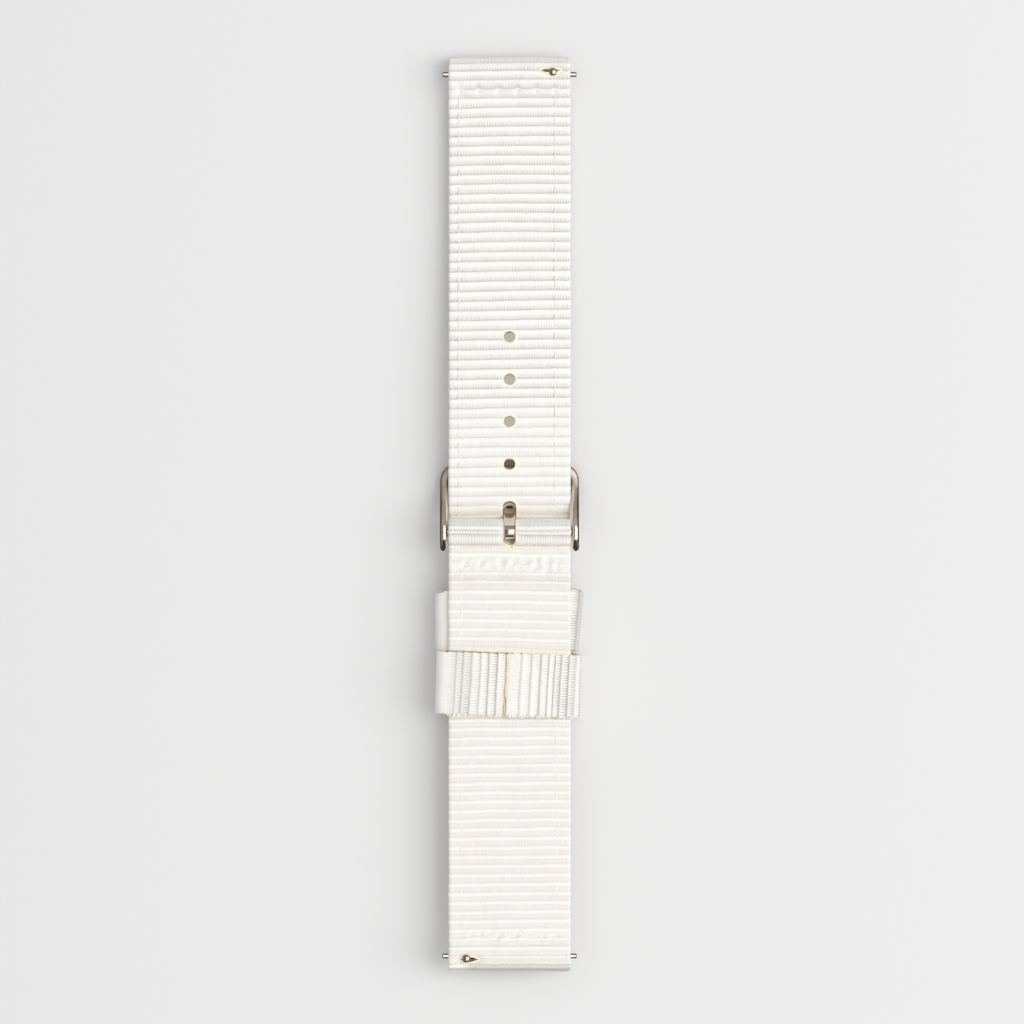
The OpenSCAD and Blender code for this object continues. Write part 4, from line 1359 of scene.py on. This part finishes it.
    def painted_light(s, b):
        """Painted light: a glow on the bottom fold."""
        on_fold = ease((s - fold_start) / 0.8)
        return 0.03 * on_fold * ease((fold_mark - 0.35 * bend_r - s) / 0.6) * (s > flap_end + 9)

    def end_lean(x):
        """How far the flap's cut end runs past its CAD end, at x across it."""
        return 0.12 + flap_slant * (x / half_strap + 1) / 2

    def slump(s, points, from_cut):
        """The slot's lower edge gives towards the bar, and the flap's end is cut aslant."""
        y, z = points[..., 1], points[..., 2]
        at_end = ease((slot_middle + 0.2 - y) / 0.9) * ease((y - slot_far + 0.8) / 0.5)
        deep = np.clip((flap_z(y) + web_t / 2 - z) / strap_t, 0, 1)
        moved = points.copy()
        moved[..., 1] += 0.62 * deep * at_end * about(from_cut, 0, slump_reach)
        moved[..., 1] -= end_lean(points[..., 0]) * ease((1.4 - s) / 1.4)
        return moved

    web.skew, web.press, web.soften, web.slump = skew, press, soften, slump
    web.soil_and_shade, web.teeth, web.shade, web.painted_light = soil_and_shade, teeth, shade, painted_light
    web.hidden_from, web.hidden_to = loop_end, loop_end + 6
    cuts = [(slot_gap, 0, loop_end + 4), (slit, fold_middle, web.length)]
    strap = web.piece("short_strap_webbing", short_nylon, cuts, seed=33)
    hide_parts("short_strap")

    turn = np.linspace(0, math.pi / 2, 10)
    near = np.column_stack([flap_mark(slot_middle - worn_r * np.cos(turn)), worn_r * np.sin(turn)])
    far = np.column_stack([front_mark(slot_middle - worn_r * np.sin(turn)), worn_r * np.cos(turn)])
    along = np.linspace(flap_mark(slot_middle), front_mark(slot_middle), 40)[1:-1]
    side = np.column_stack([along, 0 * along + worn_r])
    one_side = np.vstack([near, side, far])
    other_side = one_side[::-1][1:-1] * (1, -1)
    rims = joined("short_strap_melted_rims", [
        slit_bead(web, lug_mark, slit_y, slit_x, 55),
        bead(web, "slot", np.vstack([one_side, other_side]), sealed, lift=seal_lift,
             across=0.12, high=0.12, closed=True, seed=56)])
    across = np.linspace(half_strap - 0.1, 0.1 - half_strap, 60)
    end = bead(web, "flap_end_seal", np.column_stack([0 * across + 0.03, across]), singed,
               lift=-web_t / 2 + 0.04, across=0.19, high=0.56, seed=57, rough=0.08)
    for point in end.data.vertices:
        point.co.y -= end_lean(point.co.x / MM) * MM
    ways = columns + rows
    return [strap, rims, end, stitches(web, "short_strap_stitching", ways, sewn, follow=1.0)]


def keeper_web(half, top, near_y, far_y, start_x, valleys, lean, seed):
    """A keeper's webbing, round the straps from a butt seam at start_x. valleys are the places
    between its ribs, on the top to the right of the seam and to its left."""
    gap = 0.02
    web = Webbing(keeper_line(half, top, start_x, gap), (near_y - far_y) / 2, keeper_t,
                  keeper_depth, cushion, lies="round")
    right = sorted(x - start_x - gap / 2 for x in valleys if x > start_x)
    left = sorted(web.length - (start_x - gap / 2 - x) for x in valleys if x < start_x)
    between = round((left[0] - right[-1]) / keeper_pitch) if left else 0
    seen = [(s, number) for number, s in enumerate(right)]
    seen += [(s, len(right) - 1 + between + number) for number, s in enumerate(left)]
    (first, _), (last, number) = seen[0], seen[-1]
    web.follow((0, -first / keeper_pitch), *seen,
               (web.length, number + (web.length - last) / keeper_pitch))

    def skew(s, b):
        on_top = 1 - ease((np.minimum(s, web.length - s) - half) / 3)
        return on_top * (lean * b + 0.06 * drift(seed, 4, s, b))
    web.skew = skew
    return web


elsewhere = 99.0


def on_top_x(web, s, top):
    """Place across the strap of a keeper's points, elsewhere for those that aren't on its top."""
    x, z, _ = web.where(s)
    return np.where(z > top * 0.55, x, elsewhere)


def build_fixed_keeper():
    """The keeper that is sewn in under the flap. Its top corners are drawn down at the folds, and
    it is narrower at its lower right corner."""
    far_y, seam_start, slant, left_drop, right_drop = fixed_far_y - 0.1, 0.6, 0.85, 0.75, 0.5
    web = keeper_web(fixed_half, fixed_top, fixed_near_y, far_y, seam_start,
                     (seam_start + fixed_fold_valley,), lean=0.02, seed=90)
    width = web.half

    def pull(s, b):
        x = on_top_x(web, s, fixed_top * 0.4)
        on_top = x < elsewhere
        left = left_drop * ease((-x - 10.3) / 1.9) * on_top
        right = right_drop * ease((x - 10.6) / 1.6) * on_top
        return -(left + right) * ease((b / width - 0.2) / 0.8)

    def soften(s, b):
        return 0.1 + 0.9 * ease(web.where(s)[0] / 8)

    def press(s, b):
        return 0.03 * drift(93, 1.4, s, b)

    def soil_and_shade(s, b):
        """A tan stain at the lower left corner."""
        x = on_top_x(web, s, fixed_top)
        return 0.8 * (about(x, -11.0, 1.3) * about(b, -width, 0.85))

    def teeth(s, b):
        return 0.8 * ease((web.where(s)[0] - 9) / 2)

    def shade(s, b):
        past = s - fixed_fold_valley
        return 0.6 * about(past, 0, 0.12) + 0.5 * ease(past / 0.15) * ease((1.8 - past) / 0.5)

    web.pull, web.soften, web.press = pull, soften, press
    web.soil_and_shade, web.teeth, web.shade = soil_and_shade, teeth, shade
    ring = web.piece("fixed_keeper_ring", keeper_nylon, seed=90, scallop=0.12)
    for point in ring.data.vertices:
        x, y = point.co.x / MM, point.co.y / MM
        point.co.x -= slant * MM * (width - y) / (2 * width) * max(x / fixed_half, 0) ** 2
    ring.data.transform(Matrix.Translation((0, (fixed_near_y + far_y) / 2 * MM, 0)))
    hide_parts("fixed_keeper")
    return [ring]


def build_floating_keeper():
    """The loose keeper, turned a little on the strap."""
    width = floating_near_y - floating_far_y - 0.32
    middle_y, turned = (floating_near_y + floating_far_y) / 2 - 0.105, math.radians(-1.6)
    web = keeper_web(floating_half, floating_top, middle_y + width / 2, middle_y - width / 2,
                     seam_x, floating_valleys, lean=0.03, seed=95)

    def soften(s, b):
        """Ribs fade beside the seam and on the left."""
        x = on_top_x(web, s, floating_top)
        seam = 0.85 * ease((1.9 - s) / 0.9)
        left_side = 0.95 * ease((-6.4 - x) / 4.4)
        uneven = 0.2 * drift(96, 2.5, s)
        return np.clip(1 - seam - left_side + uneven * (x < elsewhere), 0.03, 1.3)

    def press(s, b):
        ends = np.minimum(s, web.length - s)
        return 0.10 * about(ends, 0, 0.3) + 0.03 * drift(98, 1.4, s, b)

    def soil_and_shade(s, b):
        """A yellow-brown tone in one deep valley, at the seam and along the lower edge."""
        deep = 0.45 * about(on_top_x(web, s, floating_top), 5.25, 0.3)
        seam = 0.25 * about(s, 0, 0.22)
        return np.maximum(np.maximum(deep, seam), 0.35 * about(b, -web.half, 0.3))

    def teeth(s, b):
        x = on_top_x(web, s, 0)
        return 0.75 * ease((x - 7.2) / 1.2) + 0.5 * ease((-5 - x) / 1.5) - 0.2

    def shade(s, b):
        x = on_top_x(web, s, floating_top)
        return 0.16 * ease((x + 10.2) / 0.8) * ease((-4.8 - x) / 2) + 0.2 * about(x, 11.3, 0.5)

    web.soften, web.press = soften, press
    web.soil_and_shade, web.teeth, web.shade = soil_and_shade, teeth, shade
    ring = web.piece("floating_keeper_ring", keeper_nylon, seed=95, scallop=0.12)
    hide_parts("floating_keeper")
    parts = [ring, seam_bead(web), loose_threads(web)]
    moved = Matrix.Translation(Vector((seam_x, middle_y, 0)) * MM)
    for part in parts:
        part.data.transform(moved @ Matrix.Rotation(turned, 4, "Z"))
    return parts


def seam_bead(web):
    """The melted end of the floating keeper's webbing, along its butt seam."""
    across = np.linspace(web.half - 0.15, 0.15 - web.half, 40)
    path = np.column_stack([0 * across + web.length - 0.02, across])
    return bead(web, "floating_keeper_seam", path, tanned, lift=-0.03, across=0.12, high=0.13,
                seed=80, rough=0.3)


def loose_threads(web):
    """Frayed thread ends along the floating keeper's cut lower edge."""
    rng = np.random.default_rng(97)
    count, first, last, longest, sideways, thread_r = 90, -9.5, 11, 0.42, 0.25, 0.15
    ways = []
    for _ in range(count):
        s = rng.uniform(first, last)
        s = s if s > 0.2 else web.length + s - 0.2
        length = rng.uniform(0.05, longest)
        end = min(max(s + rng.uniform(-sideways, sideways), 0.05), web.length - 0.05)
        ways.append((s, 0.2 - web.half, end, -web.half - length))
    ways = np.array(ways)
    t = np.linspace(0, 1, 5)
    s = ways[:, 0:1] + (ways[:, 2:3] - ways[:, 0:1]) * t
    b = ways[:, 1:2] + (ways[:, 3:4] - ways[:, 1:2]) * t
    droop = rng.uniform(-0.2, 0.05, (count, 1)) * t**2
    centre = web.place(s, b, web.thickness / 2 - 0.15 + droop)
    size = thread_r * (1 - 0.5 * t)[None, :]
    made = tubes("floating_keeper_frayed_edge", centre, web.outward(s, b), size, size, 6, sewn)
    store(made, "twist", np.zeros(len(made.data.vertices)), "FLOAT")
    return made


# Buckle


def build_buckle_frame():
    """The arms and outer bar, one rod of changing section bent round the strap."""
    arm_x = frame_out_x - arm_w / 2
    tail_len, tail_slope, blunt = 1.95, 0.62, 0.995
    tail_start_y = frame_tail_y + tail_len
    corner_w, corner_len = 1.3, 2.0
    bar_mid_y, bend_y = outer_bar_y - outer_bar_w / 2, outer_bar_y - outer_bar_w

    def side(y):
        """The middle and half of the rod's height at places along the strap."""
        share = ease((y - bar_y) / (bend_y - bar_y))
        centre = bar_z + (outer_bar_z - bar_z) * share
        half = (arm_h + (outer_bar_t - arm_h) * share) / 2
        past = np.clip(tail_start_y - y, 0, tail_len)
        return centre, (half - tail_slope * past) * np.sqrt(1 - (past / tail_len) ** 5 * blunt)

    quarter = np.linspace(0, math.pi / 2, 16)
    tail = tail_start_y - tail_len * np.cos(quarter)
    corner_y = bar_mid_y - corner_len
    arm = np.linspace(tail_start_y, corner_y, 40)[1:]
    across = np.linspace(arm_x - corner_w, 0, 16)[1:]
    turn = quarter[1:]
    xs = np.r_[0 * tail + arm_x, 0 * arm + arm_x, arm_x - corner_w * (1 - np.cos(turn)), across]
    ys = np.r_[tail, arm, corner_y + corner_len * np.sin(turn), 0 * across + bar_mid_y]
    xs, ys = np.r_[xs, -xs[::-1][1:]], np.r_[ys, ys[::-1][1:]]
    way = np.column_stack([np.gradient(xs), np.gradient(ys)])
    way /= np.linalg.norm(way, axis=1)[:, None]
    out = np.column_stack([way[:, 1], -way[:, 0]])
    centre, half = side(ys)
    width = arm_w + (outer_bar_w - arm_w) * np.abs(way[:, 0])
    from_end = np.minimum(np.cumsum(np.r_[0, np.hypot(np.diff(xs), np.diff(ys))]), arm_w / 2)
    from_end = np.minimum(from_end, from_end[::-1])
    width = width * np.sqrt(np.clip(1 - (1 - from_end / (arm_w / 2)) ** 2, 0.04, 1))
    turns = np.linspace(0, 2 * math.pi, 28, endpoint=False)
    squareness = 2.8
    u, v = (np.sign(wave) * np.abs(wave) ** (2 / squareness)
            for wave in (np.cos(turns), np.sin(turns)))
    ring = np.stack([
        xs[:, None] + out[:, 0:1] * width[:, None] / 2 * u,
        ys[:, None] + out[:, 1:2] * width[:, None] / 2 * u,
        centre[:, None] + half[:, None] * v], -1)
    count, around = ring.shape[:2]
    index = np.arange(count * around).reshape(count, around)
    near, far = index[:-1], index[1:]
    faces = np.stack([near, np.roll(near, -1, 1), np.roll(far, -1, 1), far], -1)
    piece = make_mesh("buckle_arms_and_bar", ring, faces, frame_metal)
    rounded = bmesh.new()
    rounded.from_mesh(piece.data)
    open_edges = [e for e in rounded.edges if e.is_boundary]
    bmesh.ops.holes_fill(rounded, edges=open_edges, sides=0)
    bmesh.ops.recalc_face_normals(rounded, faces=rounded.faces)
    rounded.to_mesh(piece.data)
    rounded.free()
    piece.data.shade_smooth()
    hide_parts("buckle_frame")
    return piece


def in_order(elements, place):
    """Sorts a solid's points or faces by place, because a bevel orders them anew in each run."""
    ranks = {element: rank for rank, element in enumerate(sorted(elements, key=place))}
    elements.sort(key=ranks.get)


def outline_piece(name, outline, half, rounding, crown, finish):
    """A flat outline in the YZ plane, given a width across the strap, rounded edges and a face
    that is a little higher in the middle."""
    solid = bmesh.new()
    left, right = ([solid.verts.new(Vector((x, y, z)) * MM) for y, z in outline]
                   for x in (-half, half))
    solid.faces.new(left)
    solid.faces.new(right[::-1])
    for k in range(len(outline)):
        solid.faces.new((left[k], left[k - 1], right[k - 1], right[k]))
    bmesh.ops.recalc_face_normals(solid, faces=solid.faces)
    same_x, on_plane, lengthwise = 1e-7, 1e-8, (-0.6, -0.3, 0, 0.3, 0.6)
    rims = [e for e in solid.edges if abs(e.verts[0].co.x - e.verts[1].co.x) < same_x]
    bmesh.ops.bevel(solid, geom=rims, offset=rounding * MM, segments=4, profile=0.5,
                    affect="EDGES", clamp_overlap=True)
    for place in lengthwise:
        whole = solid.verts[:] + solid.edges[:] + solid.faces[:]
        bmesh.ops.bisect_plane(solid, geom=whole, dist=on_plane,
                               plane_co=(place * half * MM, 0, 0), plane_no=(1, 0, 0))
    for point in solid.verts:
        point.co.z -= crown * MM * (point.co.x / (half * MM)) ** 2
    in_order(solid.verts, lambda point: point.co[:])
    in_order(solid.faces, lambda face: face.calc_center_median()[:])
    return from_solid(name, solid, finish)


def build_tang():
    """A strip curled round the buckle bar that goes down through the strap to the outer bar."""
    curl_r = tube_r + run_gap
    slope = math.radians(tang_slope)
    root = np.array([bar_y, bar_z])
    across = np.array([math.sin(slope), math.cos(slope)])
    along = np.array([math.cos(slope), -math.sin(slope)])
    drop = (bar_z + (curl_r + tang_t / 2) * math.cos(slope) - tang_mid_z
            - tang_bend * (1 - math.cos(slope)))
    centre = root + (curl_r + tang_t / 2 + tang_bend) * across + drop / math.sin(slope) * along

    def turned(middle, r, start, end, steps):
        """Points round a place, with the first and last."""
        return [middle + r * np.array([math.cos(t), math.sin(t)])
                for t in np.radians(np.linspace(start, end, steps))]

    def bend(r):
        return turned(centre, r, -90 - tang_slope, -90, 10)

    start = math.degrees(math.atan2(across[1], across[0]))
    curl_end, swell, tip_back, tip_inset = start + 300, 1.2, 0.25, 0.2
    low, high = tang_mid_z - tang_t / 2, tang_mid_z + tang_t / 2
    back = tang_tip_y - tip_back
    outline = (
        bend(tang_bend + tang_t / 2)
        + [(back, low), (tang_tip_y, low + tip_inset), (tang_tip_y, high - tip_inset), (back, high)]
        + bend(tang_bend - tang_t / 2)[::-1]
        + [root + (curl_r + tang_t) * across + swell * along]
        + turned(root, curl_r + curl_t, start, curl_end, 40)
        + turned(root, curl_r, curl_end, start, 40)
    )
    piece = outline_piece("tang_strip", outline, tang_half, rounding=0.16, crown=0.08,
                          finish=tang_metal)
    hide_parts("buckle_tang")
    return piece


def build_knob(node):
    """A release knob with a domed head, turned on a lathe."""
    r = (extent(node, X)[1] - extent(node, X)[0]) / 2
    foot, top = extent(node, Z)
    at_x, at_y = middle(node, X), middle(node, Y)
    dome, wall, rounds, around, stem_r = 0.34, 0.06, 7, 32, 0.33
    brim = top - dome
    turn = np.linspace(0, math.pi / 2, rounds)[1:-1]
    profile = [(stem_r, foot), (stem_r, brim - wall), (r, brim - wall), (r, brim)]
    profile += [(r * math.cos(t), brim + dome * math.sin(t)) for t in turn]
    made = bmesh.new()

    def point(radius, turned, z):
        return made.verts.new(Vector((
            at_x + radius * math.cos(turned), at_y + radius * math.sin(turned), z)) * MM)

    rings = [[point(radius, 2 * math.pi * k / around, z) for k in range(around)]
             for radius, z in profile]
    for near, far in zip(rings, rings[1:]):
        for k in range(around):
            q = (k + 1) % around
            made.faces.new((near[k], near[q], far[q], far[k]))
    made.faces.new(rings[0][::-1])
    crest = point(0, 0, top)
    for k in range(around):
        made.faces.new((rings[-1][k], rings[-1][(k + 1) % around], crest))
    piece = from_solid(node + "_head", made, knob_metal)
    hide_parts(node)
    return piece


def dress_metal():
    """Steel for the CAD nodes that stay, with the sharp edges of tubes and tips taken off."""
    finish = {"tube": bar_metal, "spring": spring_metal, "tip": pin_metal}
    for name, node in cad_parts.items():
        if node.hide_render:
            continue
        kind = name.rsplit("_", 1)[-1]
        node.data.materials.clear()
        node.data.materials.append(finish[kind])
        if kind != "spring":
            softened, from_degrees = 0.05, 40
            edge = node.modifiers.new("soft_edges", "BEVEL")
            edge.width, edge.segments = softened * MM, 2
            edge.limit_method, edge.angle_limit = "ANGLE", math.radians(from_degrees)
            edge.harden_normals = False


# Studio


def build_floor():
    """A pale floor. The camera also sees a little light on it under the free holes and close
    beside the strap, where the photo's floor is lighter than the strap's shadow leaves it."""
    reach, margin = 2.0, hole_r + 0.15
    mesh = bpy.data.meshes.new("floor")
    mesh.from_pydata(
        [(-reach, -reach, 0), (reach, -reach, 0), (reach, reach, 0), (-reach, reach, 0)],
        [], [(0, 1, 2, 3)])
    made, n, shader = material("pale_floor")
    place, rays = n.place(), n.add("ShaderNodeLightPath").outputs
    pale = n.mix(n.noise(place, 3.0, 2.0), (0.785, 0.785, 0.786, 1), (0.80, 0.80, 0.801, 1))
    painted_reflection_tone, in_holes = (0.12, 0.10, 0.085, 1), (0.39, 0.365, 0.295, 1)
    by_strap = (0.060, 0.055, 0.048, 1)
    spot = n.split(place)
    off_x, off_y = n.absolute(spot["X"]), n.absolute(spot["Y"])
    first_free, last_free = hole_y(worn_hole + 1), hole_y(hole_count - 1)
    from_holes = n.absolute(n.math("SUBTRACT", spot["Y"], (first_free + last_free) / 2 * MM))
    under_holes = n.times(
        n.math("LESS_THAN", off_x, margin * MM),
        n.math("LESS_THAN", from_holes, ((last_free - first_free) / 2 + margin) * MM))
    band_x, band_y = (9.5 * MM, 14 * MM), (70 * MM, 76 * MM)
    near_x, near_y = n.spread(off_x, *band_x, 1.0, 0.0), n.spread(off_y, *band_y, 1.0, 0.0)
    tone = n.mix(n.times(n.times(near_x, near_x), near_y), (0, 0, 0, 1), by_strap)
    n.set(shader, {
        # Metal mirrors the floor dark: a painted reflection.
        "Base Color": n.mix(rays["Is Glossy Ray"], pale, painted_reflection_tone),
        "Roughness": 0.9, "Specular IOR Level": 0.1,
        "Emission Color": n.mix(under_holes, tone, in_holes),
        "Emission Strength": rays["Is Camera Ray"]})
    mesh.materials.append(made)
    in_scene("floor", mesh)


def build_lamp():
    """A large soft lamp on the right."""
    light = bpy.data.lights.new("side_lamp", "AREA")
    light.shape, light.energy = "RECTANGLE", 13.0
    light.size, light.size_y = 1.0, 1.6
    lamp = in_scene("side_lamp", light)
    lamp.location = (1.0, 0.0, 1.12)
    lamp.rotation_euler = lamp.location.to_track_quat("Z", "Y").to_euler()


def build_room():
    """An even pale room. What the metal mirrors of it is darker below and has a bright panel and
    a dark one overhead."""
    world = bpy.data.worlds.new("pale_room")
    bpy.context.scene.world = world
    world.use_nodes = True
    n = Nodes(world.node_tree)
    glossy = n.add("ShaderNodeLightPath").outputs["Is Glossy Ray"]
    way = n.split(n.add("ShaderNodeTexCoord").outputs["Generated"])
    x, y, up = way["X"], way["Y"], way["Z"]
    low_dark, dark_panel = (0.07, 0.06, 0.05, 1), (0.20, 0.17, 0.17, 1)
    bright_panel = (2.3, 2.24, 2.16, 1)
    mirrored = n.ramp(up, [
        (0.0, low_dark), (0.12, (0.28, 0.24, 0.20, 1)),
        (0.30, (0.50, 0.43, 0.36, 1)), (1.0, (0.60, 0.54, 0.48, 1))])
    near_y = n.spread(n.absolute(n.plus(y, 0.05)), 0.50, 0.58, 1, 0)
    overhead = n.times(near_y, n.spread(up, 0.5, 0.6))
    right = n.times(n.spread(x, -0.07, -0.02), n.spread(x, 0.55, 0.7, 1, 0))
    left = n.times(n.spread(x, -0.10, -0.07, 1, 0), n.spread(x, -0.55, -0.4))
    below = n.times(n.spread(y, -0.86, -0.76, 1, 0), n.spread(up, 0.10, 0.18))
    mirrored = n.mix(below, mirrored, low_dark)
    mirrored = n.mix(n.times(overhead, left), mirrored, dark_panel)
    mirrored = n.mix(n.times(overhead, right), mirrored, bright_panel)
    even = n.mix(up, grey(0.22), (0.99, 0.99, 0.985, 1))
    n.set(world.node_tree.nodes["Background"],
          {"Color": n.mix(glossy, even, mirrored), "Strength": 0.96})


def build_camera():
    """Straight above the strap, from far off, as the photo was taken."""
    photo_side, pixels_per_mm = 1024, 6.1
    strap_middle_x, strap_middle_y = 509.5, 513.5
    x = (photo_side / 2 - strap_middle_x) / pixels_per_mm
    y = (strap_middle_y - photo_side / 2) / pixels_per_mm
    seen_width = photo_side / pixels_per_mm
    above, strap_top, sensor = 900.0, 5, 36
    view = bpy.data.cameras.new("camera")
    view.sensor_width = sensor
    view.lens = sensor * above / seen_width
    view.clip_end = 10
    camera = in_scene("camera", view)
    camera.location = Vector((x, y, above + strap_top)) * MM
    bpy.context.scene.camera = camera


bpy.context.scene.view_settings.view_transform = "Standard"
build_camera()
build_floor()
build_lamp()
build_room()

for build, body in (
    (build_long_strap, "long_strap"),
    (build_short_strap, "short_strap"),
    (build_fixed_keeper, "short_strap"),
    (build_floating_keeper, "floating_keeper"),
):
    for part in build():
        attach(part, body)
for metal, body in (
    (build_buckle_frame(), "buckle"),
    (build_tang(), "tang"),
    (build_knob("long_lug_bar_release_knob"), "long_release"),
    (build_knob("short_lug_bar_release_knob"), "short_release"),
):
    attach(metal, body)
dress_metal()
